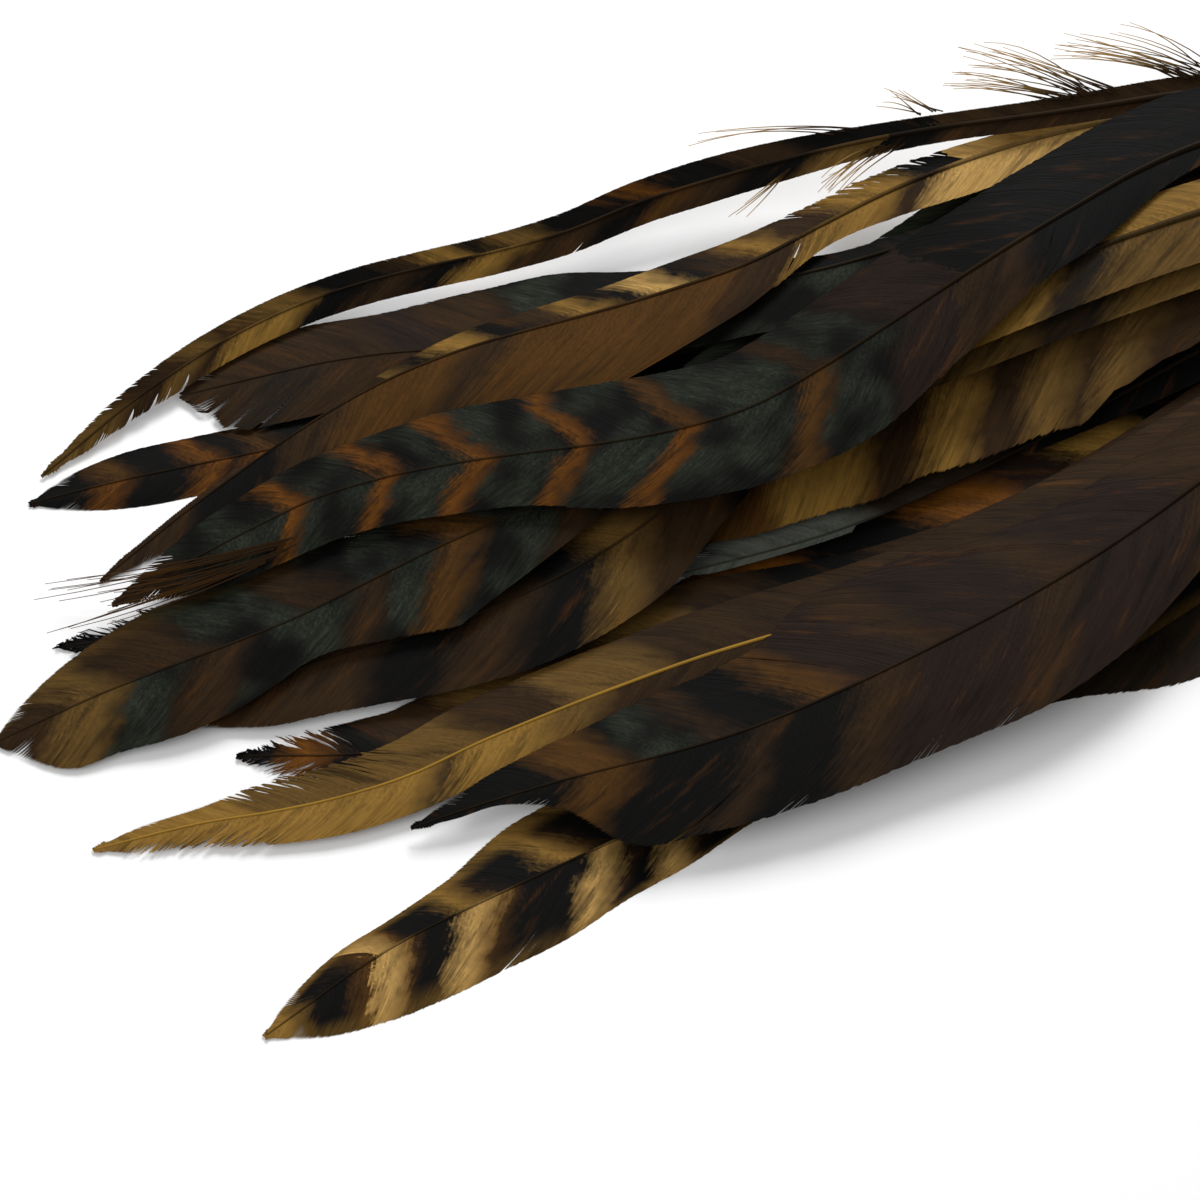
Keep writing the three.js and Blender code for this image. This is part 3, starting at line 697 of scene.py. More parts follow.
def barb_curves(vane, side, spec, settings, random):
    """The barbs of one half vane, each as SEGMENTS + 1 places (distance from the tip, mm across).

    Barbs next to a split lean away from it, growing with the power LEAN_POWER of the place along the
    barb. Frays and the down add random lengths, angles and curls. The stripped quill, where the solid
    is too slim for a barb, grows none.
    """
    spacing = settings.barb_spacing
    roots = np.arange(FIRST_ROOT, vane.length - BARE_QUILL, spacing)
    count = len(roots)
    roots = roots + random.uniform(-ROOT_JITTER, ROOT_JITTER, count) * spacing
    down = vane.length - settings.down_from
    loose = smoothstep(down, down + DOWN_FADE, roots)
    fray = fray_amounts(side, spec, roots)
    wild = np.maximum(loose, fray * FRAY_WILD)
    groups = np.arange(0, vane.length, GROUP)
    group = np.interp(roots, groups, random.normal(0, 1, len(groups)))
    turn = np.radians(GROUP_TURN * group + wild * random.normal(0, WILD_TURN, count))
    at_root = settings.root_angle + turn + loose * DOWN_TURNS[0]
    at_tip = settings.tip_angle + turn + loose * DOWN_TURNS[1]
    s, x, angle, length = trace(vane, side, roots, at_root, at_tip)
    ragged = random.uniform(*CUT, count)
    ragged = ragged * (1 + wild * random.uniform(*TORN_CUT, count))
    length = np.clip(length * ragged, 0.5 * MM, (TRACE - 2) * TRACE_STEP)
    f = np.linspace(0, 1, SEGMENTS + 1) ** SPACING
    at = length[:, None] * f / TRACE_STEP
    i = np.clip(at.astype(int), 0, TRACE - 2)
    part = at - i
    rows = np.arange(count)[:, None]
    s_at = s[rows, i] * (1 - part) + s[rows, i + 1] * part
    x_at = x[rows, i] * (1 - part) + x[rows, i + 1] * part
    x_at[:, 0] = 0
    angle_at = angle[rows, i]
    s_at = s_at + split_leans(side, spec, roots, random)[:, None] * f**LEAN_POWER
    turned = f * random.uniform(*CURL_TURN, (count, 1))
    curl = np.sin(turned + random.uniform(*CURL_START, (count, 1))) - CURL_BIAS
    s_at = s_at + wild[:, None] * curl * f * CURL * MM
    lift = random.normal(0, LIFT, (count, 1)) * MM * f**2
    lift = lift + wild[:, None] * f**2 * random.uniform(*WILD_LIFT, (count, 1)) * MM
    grown = (length > SHORTEST_BARB) | (roots < SHORT_TIP)
    barbs = {"s": s_at, "x": x_at, "angle": angle_at, "lift": lift}
    barbs.update(loose=loose, fray=fray, length=length)
    return {**{key: values[grown] for key, values in barbs.items()}, "f": f, "spacing": spacing}


def wisp_curves(vane, wisps, random):
    """Loose barbs over the vane, each along a bowed line between two places (s, mm across).

    A place is the shaft's point at s, carried straight on past the tip, plus x along the unit
    direction to the far edge. The bow and the lift are parabolas that vanish at both ends.
    """
    wisps = np.repeat(np.array(wisps, float), HAIRS, 0)
    wisps = wisps + random.normal(0, 1, wisps.shape) * WISP_SPREAD
    f = np.linspace(0, 1, SEGMENTS + 1)
    root_s, root_x, tip_s, tip_x, bow = wisps.T[..., None]
    s = (root_s + (tip_s - root_s) * f) * MM
    x = (root_x + (tip_x - root_x) * f + bow * 4 * f * (1 - f)) * MM
    inside = np.clip(s, 1 * MM, vane.length)
    across = unit(smooth(vane.stations, vane.edge["far"] - vane.edge["near"], inside))
    line = vane.shaft(np.maximum(s, 0)) + across * x[..., None]
    line += vane.along(np.full(1, 1 * MM)) * np.minimum(s, 0)[..., None]
    line[..., 2] += 0.35 * MM + random.uniform(0.2, 0.9, (len(wisps), 1)) * f * (1.2 - f) * MM
    return {"s": s, "x": x, "line": line, "f": f}


def wisp_ribbons(wisps):
    """Slim three-cornered ribbons along the loose barbs, narrowing to both ends."""
    line = wisps["line"]
    along = unit(np.gradient(line, axis=1))
    across = unit(np.cross(along, [0.0, 0.0, 1.0]))
    up = np.cross(across, along)
    half = (HAIR_HALF * MM * (1 - HAIR_SLIM * wisps["f"]))[None, :, None]
    corners = np.stack([line - across * half, line + up * half, line + across * half], 2)
    corners[..., 2] = np.maximum(corners[..., 2], LOWEST)
    return corners


def ribbons(vane, side, barbs, settings, random):
    """Closed three-cornered ribbons along the barbs: both rims and a ridge between them.

    A ribbon is as wide as the gap to its neighbour, spacing·sin(angle), times an overlap, narrowing
    to its tip where it is torn, and tilted about its own line so that each lies over the next like a
    slate. Its end is cut along the vane's edge: the rims end half·cot(angle) before and after the line.
    """
    s = np.clip(barbs["s"], -2 * MM, vane.length)
    x = barbs["x"]
    width = np.maximum(vane.width(side, np.clip(s, 0.4 * MM, vane.length)), 0.35 * MM)
    line = vane.point(side, np.clip(s, 0, vane.length), np.clip(x / width, 0, 1.25))
    line[..., 0] += np.minimum(s, 0)
    line[..., 2] += barbs["lift"]
    along = unit(np.gradient(line, axis=1), TINY)
    shaft = vane.along(np.clip(s, 2 * MM, vane.length - 2 * MM))
    up = np.cross(shaft, along) * SIDES[side] * -1
    up += np.array([0, 0, 1e-4])
    up *= np.sign(up[..., 2:3] + 1e-9)
    up = unit(up, TINY)
    across = np.cross(along, up)
    tilt = RIBBON_TILT * (1 + random.normal(0, TILT_SPREAD, (len(s), 1, 1))) * SIDES[side]
    across, up = across * np.cos(tilt) + up * np.sin(tilt), up * np.cos(tilt) - across * np.sin(tilt)
    f = barbs["f"]
    full = barbs["spacing"] * np.sin(np.clip(barbs["angle"], *FLAT_ANGLES)) * RIBBON_OVERLAP
    full = full * (1 - LOOSE_SLIM * barbs["loose"][:, None]) * (1 - FRAY_SLIM * barbs["fray"][:, None] * f)
    torn = np.maximum(barbs["fray"], barbs["loose"])[:, None]
    taper = 1 - TORN_SLIM * torn * smoothstep(TORN_FROM, 1.0, f)
    half = (full * taper / 2)[..., None]
    ridge = (settings.ridge * (1 - RIDGE_FALL * f**2) * np.ones_like(full))[..., None]
    corners = np.stack([line - across * half, line + up * ridge, line + across * half], 2)
    slant = half[:, -1] / np.tan(np.clip(barbs["angle"][:, -1:], *FLAT_ANGLES)) * (1 - torn)
    slant = along[:, -1] * np.minimum(slant, barbs["length"][:, None] * SLANT_SHARE) * SIDES[side]
    corners[:, -1, 0] += slant
    corners[:, -1, 2] -= slant
    corners[..., 2] = np.maximum(corners[..., 2], LOWEST * LOW_PARTS)
    return corners


def ribbon_faces(count):
    """Quads round each ribbon from one station to the next, and a triangle at each end."""
    j, k = np.indices((SEGMENTS, RIBBON_CORNERS)).reshape(2, -1)
    ring, nxt = j * RIBBON_CORNERS, (k + 1) % RIBBON_CORNERS
    following = ring + RIBBON_CORNERS
    one = np.stack([ring + k, ring + nxt, following + nxt, following + k], -1)
    first = np.arange(count)[:, None, None] * (SEGMENTS + 1) * RIBBON_CORNERS
    last = SEGMENTS * RIBBON_CORNERS
    ends = np.array([[0, 2, 1], [last, last + 1, last + 2]])
    return (one[None] + first).reshape(-1, 4), (ends[None] + first).reshape(-1, 3)


def ribbon_uv(count, box):
    """A cell of the box for each ribbon: its three long faces as strips one above the other, and its
    two end triangles beside them."""
    u0, v0, u1, v1 = box
    columns = max(1, int(math.sqrt(count / 2)))
    rows = math.ceil(count / columns)
    wide, high = (u1 - u0) / columns, (v1 - v0) / rows
    j, k = np.indices((SEGMENTS, RIBBON_CORNERS)).reshape(2, -1)
    u = 0.03 + 0.8 * j / SEGMENTS
    u_next = 0.03 + 0.8 * (j + 1) / SEGMENTS
    v = 0.06 + 0.3 * k
    v_next = v + 0.26
    one = faces_uv((u, v), (u, v_next), (u_next, v_next), (u_next, v))
    ends = np.array([[[0.87, 0.1], [0.97, 0.1], [0.92, 0.4]], [[0.87, 0.6], [0.97, 0.6], [0.92, 0.9]]])
    cell = np.arange(count)
    corner = np.stack([u0 + wide * (cell % columns), v0 + high * (cell // columns)], -1)[:, None, None]
    scale = np.array([wide, high])
    return (corner + one[None] * scale).reshape(-1, 2), (corner + ends[None] * scale).reshape(-1, 2)


def grow(node, spec, seed, settings):
    """One feather: the shaft's tube and the ribbons of both half vanes in one mesh.

    Each point has its mm along and across, a random number that its barb's points share, and its
    place out along the barb: 0 to 1, WISP_MARK more on a loose one, and -1 on the shaft.
    """
    vane = Vane(node)
    random = np.random.default_rng(settings.seed * 1000 + seed)
    made, marks = [], {"along": [], "across": [], "barb": [], "out": []}

    def add(corners, s, across, out):
        """Take in some ribbons, with the marks of their points."""
        made.append(corners)
        wide = np.ones(corners.shape[:3])
        barb = random.uniform(0, 1, (len(corners), 1, 1))
        for key, values in zip(marks, (s[..., None] / MM, across[..., None], barb, out)):
            marks[key].append((values * wide).reshape(-1))

    for side, sign in SIDES.items():
        barbs = barb_curves(vane, side, spec, settings, random)
        corners = ribbons(vane, side, barbs, settings, random)
        add(corners, barbs["s"], barbs["x"] * sign / MM + SHAFT_GAP * sign, barbs["f"][None, :, None])
    if "wisps" in spec:
        loose = wisp_curves(vane, spec["wisps"], random)
        add(wisp_ribbons(loose), loose["s"], loose["x"] / MM, WISP_MARK + loose["f"][None, :, None])
    corners = np.concatenate(made)
    quads, ends = ribbon_faces(len(corners))
    points = corners.reshape(-1, 3)
    stations = np.linspace(0.6 * MM, vane.length - 3 * MM, SHAFT_STATIONS)
    stations = np.concatenate([stations, [vane.length - 1 * MM, vane.length - 0.3 * MM]])
    growth = smoothstep(vane.length - 110 * MM, vane.length - 40 * MM, stations)
    radii = smooth(vane.stations, vane.radius, stations)[:, 0] * (SHAFT_SLIM + 0.4 * growth)
    radii[-1] *= POLE
    shaft, shaft_quads, caps = tube(vane.shaft(stations), radii, SHAFT_CORNERS)
    shaft[:, 2] = np.maximum(shaft[:, 2], LOWEST)
    offset = len(points)
    points = np.concatenate([points, shaft])
    own = np.concatenate([np.repeat(stations, SHAFT_CORNERS), [0, vane.length]]) / MM
    for key, values in zip(marks, (own, own * 0, own * 0 + 0.5, own * 0 - 1)):
        marks[key].append(values)
    uv_quads, uv_ends = ribbon_uv(len(corners), (0.0, 0.06, 1.0, 1.0))
    uv_shaft = tube_uv(len(stations), SHAFT_CORNERS, (0.005, 0.004, 0.995, 0.054))
    split = len(shaft_quads) * 4
    faces = [quads, shaft_quads + offset, ends, caps + offset]
    uv = np.concatenate([uv_quads, uv_shaft[:split], uv_ends, uv_shaft[split:]])
    marks = {key: np.concatenate(values) for key, values in marks.items()}
    return put_mesh(node + "_grown", points, faces, marks, uv, [False, True, False, True]), vane.length


# Shader maths

RAMP_STOPS = 30


def operator(operation, swapped=False):
    """A method that puts its values through a Math node, in the other order if swapped."""

    def method(self, *others):
        values = (self, *others)
        values = values[::-1] if swapped else values
        return self.graph.number("ShaderNodeMath", {"operation": operation}, *values)

    return method


class Value:
    """A number in a shader: wraps an output socket, and arithmetic on it adds Math nodes."""

    __add__ = operator("ADD")
    __radd__ = operator("ADD", True)
    __sub__ = operator("SUBTRACT")
    __rsub__ = operator("SUBTRACT", True)
    __mul__ = operator("MULTIPLY")
    __gt__ = operator("GREATER_THAN")
    __abs__ = operator("ABSOLUTE")

    def __init__(self, graph, socket):
        self.graph, self.socket = graph, socket

    def clamp(self):
        """Kept between 0 and 1."""
        return self.graph.number("ShaderNodeMath", {"operation": "ADD", "use_clamp": True}, self, 0.0)

    def ramp(self, low, high):
        """0 below low, 1 above high, smooth between."""
        made = self.graph.node(
            "ShaderNodeMapRange", {"interpolation_type": "SMOOTHSTEP"},
            {"Value": self, "From Min": low, "From Max": high},
        )
        return Value(self.graph, made.outputs["Result"])


class Graph:
    """The nodes of one material."""

    def __init__(self, name):
        self.material = bpy.data.materials.new(name)
        self.material.use_nodes = True
        self.tree = self.material.node_tree
        self.tree.nodes.clear()
        self.shader = self.node("ShaderNodeBsdfPrincipled", {}, {})
        out = self.node("ShaderNodeOutputMaterial", {}, {})
        self.tree.links.new(self.shader.outputs["BSDF"], out.inputs["Surface"])

    def feed(self, socket, value):
        """Links a Value or socket to an input, or sets the input's own value."""
        if isinstance(value, Value):
            value = value.socket
        if isinstance(value, bpy.types.NodeSocket):
            self.tree.links.new(value, socket)
        elif isinstance(value, (tuple, list)) and len(value) == 3 and socket.type == "RGBA":
            socket.default_value = (*value, 1.0)
        else:
            socket.default_value = value

    def node(self, kind, settings, inputs):
        """A node of a type, with its settings made first and then its sockets' values or links."""
        made = self.tree.nodes.new(kind)
        for key, value in settings.items():
            if key == "stops":
                self._stops(made.color_ramp, value)
            else:
                setattr(made, key, value)
        for key, value in inputs.items():
            self.feed(made.inputs[key], value)
        return made

    def _stops(self, ramp, stops):
        """A ramp's stops: as many as are given, each a place, a colour and an alpha."""
        while len(ramp.elements) < len(stops):
            ramp.elements.new(1.0)
        while len(ramp.elements) > len(stops):
            ramp.elements.remove(ramp.elements[-1])
        for element, (place, colour, sheen) in zip(ramp.elements, stops):
            element.position = place
            element.color = (*colour, sheen)

    def number(self, kind, settings, *values):
        """A node whose inputs are taken in order, as a Value."""
        made = self.node(kind, settings, dict(enumerate(values)))
        return Value(self, made.outputs[0])

    def attribute(self, name):
        """One number a point from the mesh."""
        made = self.node("ShaderNodeAttribute", {"attribute_name": name}, {})
        return Value(self, made.outputs["Fac"])

    def vector(self, x, y, z):
        """Three numbers as a vector."""
        return self.node("ShaderNodeCombineXYZ", {}, {"X": x, "Y": y, "Z": z}).outputs[0]

    def noise(self, vector, scale, detail=2.0, roughness=0.5):
        """Noise between 0 and 1."""
        inputs = {"Vector": vector, "Scale": scale, "Detail": detail, "Roughness": roughness}
        made = self.node("ShaderNodeTexNoise", {}, inputs)
        return Value(self, made.outputs["Fac"])

    def mix(self, a, b, factor, blend="MIX"):
        """Colour a turned into b by factor."""
        made = self.node(
            "ShaderNodeMix", {"data_type": "RGBA", "blend_type": blend}, {"Factor": factor, 6: a, 7: b}
        )
        return made.outputs[2]

    def look(self, colour, roughness, height, strength, depth, specular=0.5):
        """The material, its surface given a colour, roughness, specular level and bumps depth mm deep."""
        inputs = {"Strength": strength, "Distance": depth * MM, "Height": height}
        normal = self.node("ShaderNodeBump", {}, inputs).outputs["Normal"]
        self.feed(self.shader.inputs["Base Color"], colour)
        self.feed(self.shader.inputs["Roughness"], roughness)
        self.feed(self.shader.inputs["Normal"], normal)
        self.feed(self.shader.inputs["Specular IOR Level"], specular)
        return self.material

    def bands(self, place, bands, colours, soft):
        """Colour by distance: a ramp with two stops where one band meets the next. The ramp's alpha is
        the share of painted green sheen: 1 in a green band, whose own colour is black. bands is a text
        such as "black 12, gold 30"."""
        bands = [(name, float(end)) for name, end in (pair.split() for pair in bands.split(","))]
        span = bands[-1][1] + soft

        def stop(place, name):
            return (place / span, colours["black" if name == "green" else name], float(name == "green"))

        stops = [stop(0.0, bands[0][0])]
        for (name, end), (following, _) in zip(bands, bands[1:]):
            stops.append(stop(max(0.0, end - soft / 2), name))
            stops.append(stop(end + soft / 2, following))
        colour, sheen = None, None
        for part in (stops[i:i + RAMP_STOPS] for i in range(0, len(stops), RAMP_STOPS)):
            ramp = self.node("ShaderNodeValToRGB", {"stops": part}, {"Fac": place * (1 / span)})
            own = Value(self, ramp.outputs["Alpha"])
            if colour is None:
                colour, sheen = ramp.outputs["Color"], own
            else:
                past = place > part[0][0] * span
                colour, sheen = self.mix(colour, ramp.outputs["Color"], past), sheen + (own - sheen) * past
        return colour, sheen


# Where the down's colour and the bare quill's horn come in, in mm from the quill's end
DOWN_COLOUR = (46, 34)
HORN_COLOUR = (50, 24)
FEATHER_SPECULAR = 0.035

# Each noise over a feather: its scale a mm along and across, what it adds to the seed, its detail and
# its roughness. All but the broad ones run along the barbs, which lean STRAND_LEAN a mm across.
# gleam places the patches of painted green sheen, and the fine speck noise breaks them into streaks.
NOISES = {
    "drift": (0.14, 0.2, 0.0, 3.0, 0.6),
    "streak": (2.6, 0.28, 0.0, 3.0, 0.7),
    "wash": (0.3, 0.14, 9.0, 3.0, 0.6),
    "gleam": (0.13, 0.13, 5.0, 1.0, 0.5),
    "speck": (3.0, 0.45, 0.0, 3.0, 0.7),
}
BROAD = ("drift", "gleam")
STRAND_LEAN = 1.7

# How many mm each kind of noise moves the bars by, how far each shades the vane, and the shares of
# the dark and orange washes over it
BAR_SHIFTS = (0.9, 7.0, 3.0)
BRIGHTNESS = 0.95
SHADES = (1.1, 0.25, 0.4)
DARK_WASH = 0.55
ORANGE_WASH = 0.24


def feather_material(node, spec, seed, length, colours):
    """A feather's plumage: bars by distance from the tip, barb by barb, with painted sheen and a shaft."""
    g = Graph(node + "_plumage")
    along, across, barb, out = (g.attribute(k) for k in ("along", "across", "barb", "out"))
    coords = g.node("ShaderNodeTexCoord", {}, {}).outputs["Object"]
    seed = float(seed)
    cloud = g.noise(coords, 120.0, 2.0)
    strand = along + abs(across) * STRAND_LEAN
    noises = []
    for name, (run, wide, shift, detail, rough) in NOISES.items():
        way = along if name in BROAD else strand
        noises.append(g.noise(g.vector(way * run, across * wide, seed + shift), 1.0, detail, rough))
    drift, streak, wash, gleam, speck = noises
    by_barb, by_drift, by_streak = BAR_SHIFTS
    jitter = (barb - 0.5) * by_barb + (drift - 0.5) * by_drift + (streak - 0.5) * by_streak
    place = along + (abs(across) - spec.get("half", 4.0)) * spec.get("chevron", 0.8) + jitter
    soft = spec.get("soft", 4.5)
    far, far_sheen = g.bands(place, spec["far"], colours, soft)
    near, near_sheen = g.bands(place, spec["near"], colours, soft)
    is_far = across > 0.0
    colour = g.mix(near, far, is_far)
    sheen = near_sheen + (far_sheen - near_sheen) * is_far
    # Rims tint a half vane's edge: a green rim is painted sheen, and a gold rim is partly the edge barbs' own
    # paler colour and partly painted light through the thin edge.
    for side, (name, amount) in spec.get("rim", {}).items():
        on_side = (across * SIDES[side]) > 0.0
        share = out.ramp(0.62, 0.95) * on_side * amount * (0.5 + streak).clamp()
        colour = g.mix(colour, colours[name], share)
    # Painted green sheen: patches over the black of the green bands, broken into streaks along the barbs.
    gleam, speck = gleam.ramp(0.34, 0.64), speck.ramp(0.36, 0.72)
    colour = g.mix(colour, colours["green"], sheen.ramp(0.3, 1.0) * gleam * (0.3 + speck * 0.5))
    colour = g.mix(colour, colours["black"], wash.ramp(0.5, 0.72) * DARK_WASH)
    colour = g.mix(colour, colours["orange"], (1.0 - wash).ramp(0.55, 0.75) * ORANGE_WASH * (1.0 - sheen))
    shade = BRIGHTNESS
    for noise, amount in zip((streak, barb, cloud), SHADES):
        shade = shade + (noise - 0.5) * amount
    shade = shade + spec.get("tone", 0.0)
    colour = g.mix(colour, g.vector(shade, shade, shade), 1.0, "MULTIPLY")
    base = along.ramp(*(length / MM - mm for mm in DOWN_COLOUR))
    colour = g.mix(colour, colours["down"], base * (0.55 + streak * 0.5).clamp())
    own = g.mix(colour, colours[spec.get("shaft", "shaft")], spec.get("shaft_share", 0.6))
    quill = g.mix(own, colours["horn"], along.ramp(*(length / MM - mm for mm in HORN_COLOUR)))
    quill = g.mix(quill, g.vector(*(low + cloud * 0.4 for low in (0.75, 0.75, 0.72))), 1.0, "MULTIPLY")
    is_shaft = out * -1.0 > 0.01
    is_wisp = out > WISP_MARK - 0.5
    tips = colours[spec.get("hair", "straw")]
    hair = g.mix(colours["brown"], tips, (out - WISP_MARK).ramp(0.1, 0.8))
    colour = g.mix(colour, hair, is_wisp)
    colour = g.mix(colour, quill, is_shaft)
    grain = g.noise(g.vector(along * 9.0, across * 9.0, barb * 20.0), 1.0, 2.0)
    gloss = spec.get("gloss", 0.42) + streak * 0.2 - is_shaft * 0.08
    return g.look(colour, gloss, grain, 0.2, 0.03, FEATHER_SPECULAR)


def string_material(colours):
    """Cotton: pale, matt, with fine fibres along the thread."""
    g = Graph("cotton_thread")
    along, around = g.attribute("along"), g.attribute("around")
    fibre = g.noise(g.vector(along * 1.4, around * 9.0, 0.0), 1.0, 4.0, 0.7)
    patch = g.noise(g.vector(along * 0.08, around * 0.5, 3.0), 1.0, 2.0)
    shade = 0.62 + fibre * 0.45 + patch * 0.25
    colour = g.mix(colours["cotton"], g.vector(shade, shade, shade * 0.97), 1.0, "MULTIPLY")
    return g.look(colour, 0.78 + fibre * 0.2, fibre, 0.6, 0.06)


# The string

STRING_RADIUS = 0.5 * MM
STRING_TURNS = 5
STRING_CLEARANCE = 0.3 * MM
PLIES = 3
PLY_DEPTH = 0.3
TWIST_PITCH = 2.4 * MM
STRING_CORNERS = 18
BELT_POINTS = 720
TURN_POINTS = 110
KNOT_POINTS = 160
KNOT_SIZE = np.array([0.55, 0.42, 0.3]) * MM
KNOT_LIFT = 0.9 * MM
END_POINTS = 60
END_LENGTH = 6 * MM


def quill_places():
    """Each quill's middle and radius where the string crosses it, from the sections of the solids."""
    places, radii = [], []
    for node in FEATHERS:
        rings, _, _ = sections(node)
        places.append(((rings[-1, 2] + rings[-1, 6]) / 2)[1:])
        radii.append(np.linalg.norm(rings[-1, 2] - rings[-1, 6]) / 2)
    return np.array(places), float(np.mean(radii))


def belt_line(places, stand_off, count):
    """The line round all the quills at a stand-off: at each direction the outermost quill's middle plus
    the stand-off, then evened out by length. Returns a function of turns that gives (y, z)."""
    angle = np.linspace(0, 2 * np.pi, count, endpoint=False) + np.pi / 2
    out = np.stack([np.cos(angle), np.sin(angle)], -1)
    outermost = places[(out @ places.T).argmax(1)]
    loop = outermost + out * stand_off
    loop = np.concatenate([loop, loop[:1]])
    run = run_along(loop)

    def place(turns):
        """(y, z) at a number of turns."""
        return np.stack([np.interp(np.mod(turns, 1) * run[-1], run, loop[:, i]) for i in (0, 1)], -1)

    return place


def thread(name, centres, material):
    """A three-ply thread along a line as one closed tube."""
    run = run_along(centres)
    radii = np.full(len(centres), STRING_RADIUS * 1.04)
    turns = run[-1] / TWIST_PITCH
    points, quads, caps = tube(centres, radii, STRING_CORNERS, lobes=PLIES, depth=PLY_DEPTH, turns=turns)
    along = np.concatenate([np.repeat(run, STRING_CORNERS), [0, run[-1]]]) / MM
    around = np.concatenate([np.tile(np.arange(STRING_CORNERS) / STRING_CORNERS, len(centres)), [0, 0]])
    uv = tube_uv(len(centres), STRING_CORNERS, (0.01, 0.01, 0.99, 0.99))
    made = put_mesh(name, points, [quads, caps], {"along": along, "around": around}, uv, [True, True])
    made.data.materials.append(material)
    return made


def knot_line(centre, count):
    """A trefoil: (sin t + 2 sin 2t, cos t - 2 cos 2t, -sin 3t), scaled to the knot's size."""
    t = np.linspace(0.25, 2 * np.pi - 0.15, count)
    shape = np.stack([-np.sin(3 * t), np.sin(t) + 2 * np.sin(2 * t), np.cos(t) - 2 * np.cos(2 * t)], -1)
    return centre + shape * KNOT_SIZE


# Operators

# The stage, in metres: the floor's half width, what the camera looks at, what the lights point at,
# and each light's place, size and share of the key light's power
FLOOR_REACH = 3.0
PICTURE_MIDDLE = (-0.04775, -0.004988, 0.0)
LIT = (-0.04, 0, 0)
LIGHTS = {
    "key": ((0.36, 0.68, 0.68), 0.45, 1.0),
    "side": ((-0.75, -0.1, 0.6), 0.7, 0.35),
}
SENSOR = 36.0


def palette(context):
    """The colours by name, as plain tuples."""
    group = context.scene.schlappen_colours
    return {key: tuple(getattr(group, key)) for key in SchlappenColours.__annotations__}


def hang(name, data, place, towards):
    """A camera or light at a place, turned towards a direction."""
    made = bpy.data.objects.new(name, data)
    made.location = place
    made.rotation_mode = "QUATERNION"
    made.rotation_quaternion = towards.to_track_quat("-Z", "Y")
    bpy.context.scene.collection.objects.link(made)
    return made


class SCHLAPPEN_OT_feathers(bpy.types.Operator):
    """Grow the shafts and barbs of all the feathers"""

    bl_idname = "schlappen.feathers"
    bl_label = "Feathers"

    def execute(self, context):
        """Each feather's mesh and material, in its solid's place."""
        colours = palette(context)
        for seed, (node, spec) in enumerate(FEATHERS.items(), 1):
            feather, length = grow(node, spec, seed, context.scene.schlappen)
            feather.data.materials.append(feather_material(node, spec, seed, length, colours))
            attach(feather, "root")
            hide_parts(node)
        return {"FINISHED"}


class SCHLAPPEN_OT_tie(bpy.types.Operator):
    """Wind the cotton string round the quills, with its knot and trimmed ends"""

    bl_idname = "schlappen.tie"
    bl_label = "String tie"

    def execute(self, context):
        """The turns round the quills, the knot on top of them and its two ends, as threads."""
        places, quill = quill_places()
        low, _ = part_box(TIE)
        vertices, _ = merged(TIE)
        belt = vertices[np.abs(vertices[:, 2] - low.z) < 3 * MM]
        middle_x = float((belt[:, 0].max() + belt[:, 0].min()) / 2)
        line = belt_line(places, quill + STRING_CLEARANCE + STRING_RADIUS, BELT_POINTS)
        turns = np.linspace(0.02, STRING_TURNS - 0.02, STRING_TURNS * TURN_POINTS)
        pitch = 2 * STRING_RADIUS
        x = middle_x + (turns - STRING_TURNS / 2) * pitch
        wound = np.concatenate([x[:, None], line(turns)], 1)
        material = string_material(palette(context))
        top = line(np.array([0.0]))[0]
        knot = np.array([middle_x, top[0], top[1] + STRING_RADIUS + KNOT_LIFT])
        lines = {"thread_turns": wound, "thread_knot": knot_line(knot, KNOT_POINTS)}
        t = np.linspace(0, 1, END_POINTS)
        for name, sign in (("thread_end_far", 1), ("thread_end_near", -1)):
            lines[name] = np.stack([
                knot[0] - 3.4 * MM * t**1.6,
                knot[1] + sign * END_LENGTH * t,
                knot[2] + (0.9 * t - 1.6 * t**2) * MM,
            ], -1)
        for name, centres in lines.items():
            made = thread(name, centres, material)
            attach(made, "root")
            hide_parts(TIE)
        return {"FINISHED"}


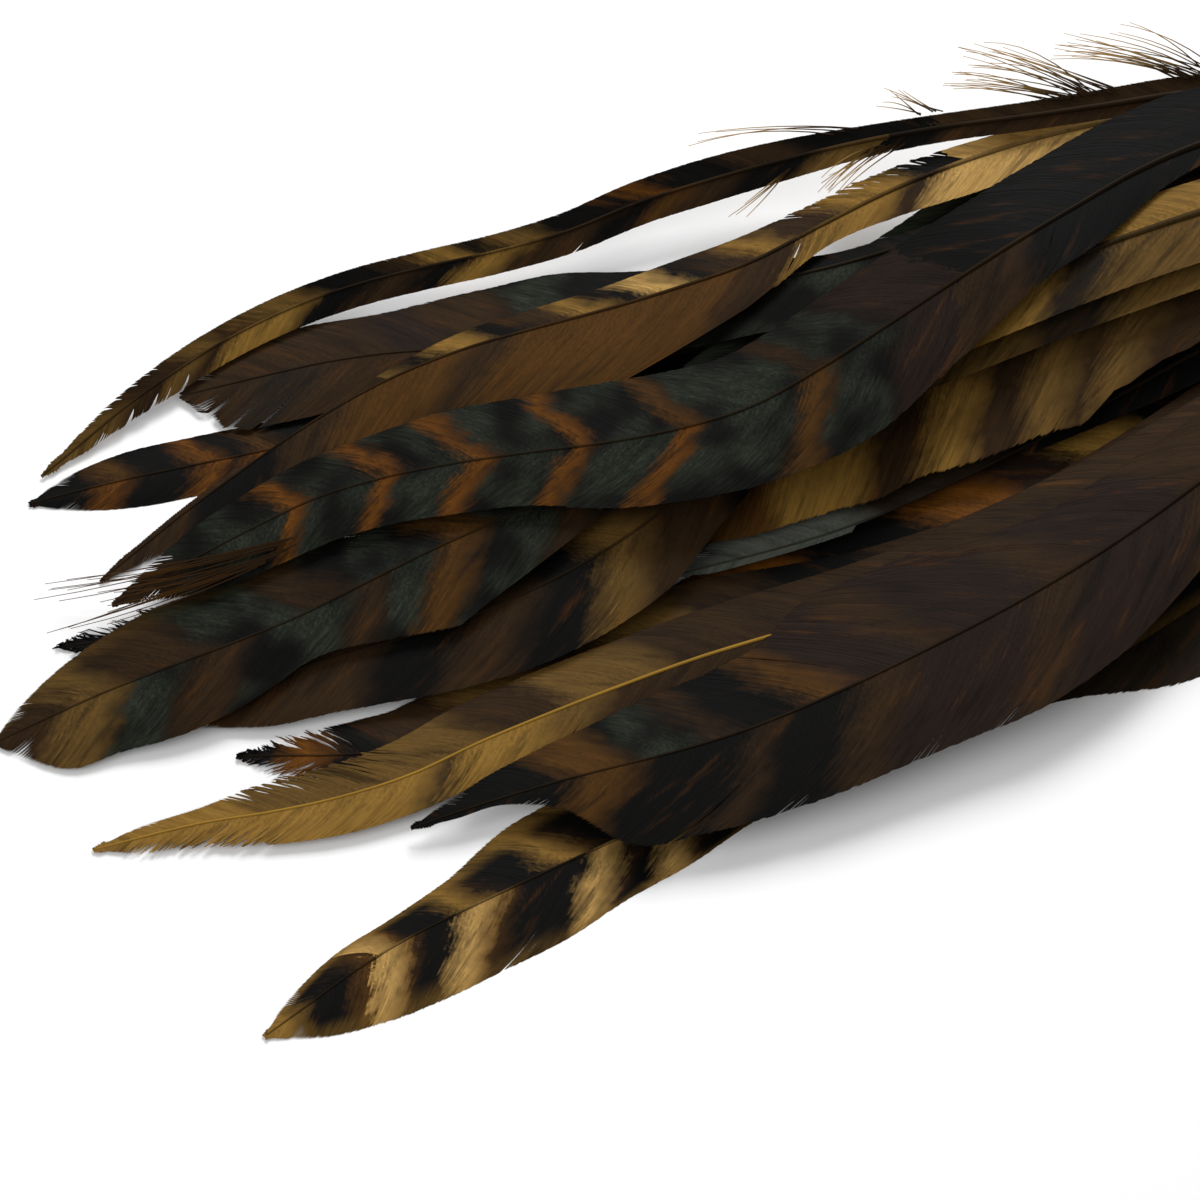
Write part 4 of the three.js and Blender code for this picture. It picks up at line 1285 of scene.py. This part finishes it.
class SCHLAPPEN_OT_stage(bpy.types.Operator):
    """Lay the floor, hang the lights and place the camera"""

    bl_idname = "schlappen.stage"
    bl_label = "Stage"

    def execute(self, context):
        """The floor's paper, the camera on the photo's middle, two soft lights and an even sky."""
        stage = context.scene.schlappen_stage
        floor_mesh = bpy.data.meshes.new("floor")
        corners = [(x * FLOOR_REACH, y * FLOOR_REACH, 0) for x, y in ((-1, -1), (1, -1), (1, 1), (-1, 1))]
        floor_mesh.from_pydata(corners, [], [(0, 1, 2, 3)])
        floor = bpy.data.objects.new("floor", floor_mesh)
        context.scene.collection.objects.link(floor)
        g = Graph("floor_paper")
        paper = g.noise(g.node("ShaderNodeTexCoord", {}, {}).outputs["Object"], 60.0)
        tone = tuple(stage.floor)
        g.feed(g.shader.inputs["Base Color"], g.mix(tone, tuple(c * 0.985 for c in tone), paper))
        g.shader.inputs["Roughness"].default_value = 0.9
        floor_mesh.materials.append(g.material)
        target = Vector(PICTURE_MIDDLE)
        e, a = stage.elevation, stage.azimuth
        back = Vector((math.sin(a) * math.cos(e), -math.cos(a) * math.cos(e), math.sin(e)))
        place = target + back * stage.distance
        camera = hang("camera", bpy.data.cameras.new("camera"), place, -back)
        camera.data.sensor_width = SENSOR
        camera.data.lens = SENSOR * stage.distance / stage.width
        camera.data.clip_start = 0.05
        camera.data.clip_end = 20.0
        context.scene.camera = camera
        for name, (place, size, share) in LIGHTS.items():
            light = hang(name, bpy.data.lights.new(name, "AREA"), place, Vector(LIT) - Vector(place))
            light.data.size = size
            light.data.energy = stage.key * share
        world = bpy.data.worlds.new("sky")
        world.use_nodes = True
        sky = world.node_tree.nodes["Background"]
        sky.inputs["Color"].default_value = (1.0, 1.0, 1.0, 1.0)
        sky.inputs["Strength"].default_value = stage.fill
        context.scene.world = world
        context.scene.view_settings.view_transform = "Standard"
        return {"FINISHED"}


GROUPS = {
    "schlappen": SchlappenSettings,
    "schlappen_colours": SchlappenColours,
    "schlappen_stage": SchlappenStage,
}
STEPS = (SCHLAPPEN_OT_feathers, SCHLAPPEN_OT_tie, SCHLAPPEN_OT_stage)


class SCHLAPPEN_PT_panel(bpy.types.Panel):
    """The bunch's settings and steps"""

    bl_label = "Rooster Schlappen"
    bl_idname = "SCHLAPPEN_PT_panel"
    bl_space_type = "VIEW_3D"
    bl_region_type = "UI"
    bl_category = "Schlappen"

    def draw(self, context):
        """A box of settings for each group, then the steps' buttons."""
        for name, group in GROUPS.items():
            box = self.layout.box()
            for key in group.__annotations__:
                box.prop(getattr(context.scene, name), key)
        for step in STEPS:
            self.layout.operator(step.bl_idname)


CLASSES = (*GROUPS.values(), *STEPS, SCHLAPPEN_PT_panel)


def register():
    """Adds the settings, steps and panel to Blender."""
    for cls in CLASSES:
        bpy.utils.register_class(cls)
    for name, group in GROUPS.items():
        setattr(bpy.types.Scene, name, PointerProperty(type=group))


def unregister():
    """Takes them away again."""
    for name in GROUPS:
        delattr(bpy.types.Scene, name)
    for cls in reversed(CLASSES):
        bpy.utils.unregister_class(cls)


def main():
    """Runs every step."""
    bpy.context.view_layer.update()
    register()
    bpy.ops.schlappen.feathers()
    bpy.ops.schlappen.tie()
    bpy.ops.schlappen.stage()


if __name__ == "__main__":
    main()
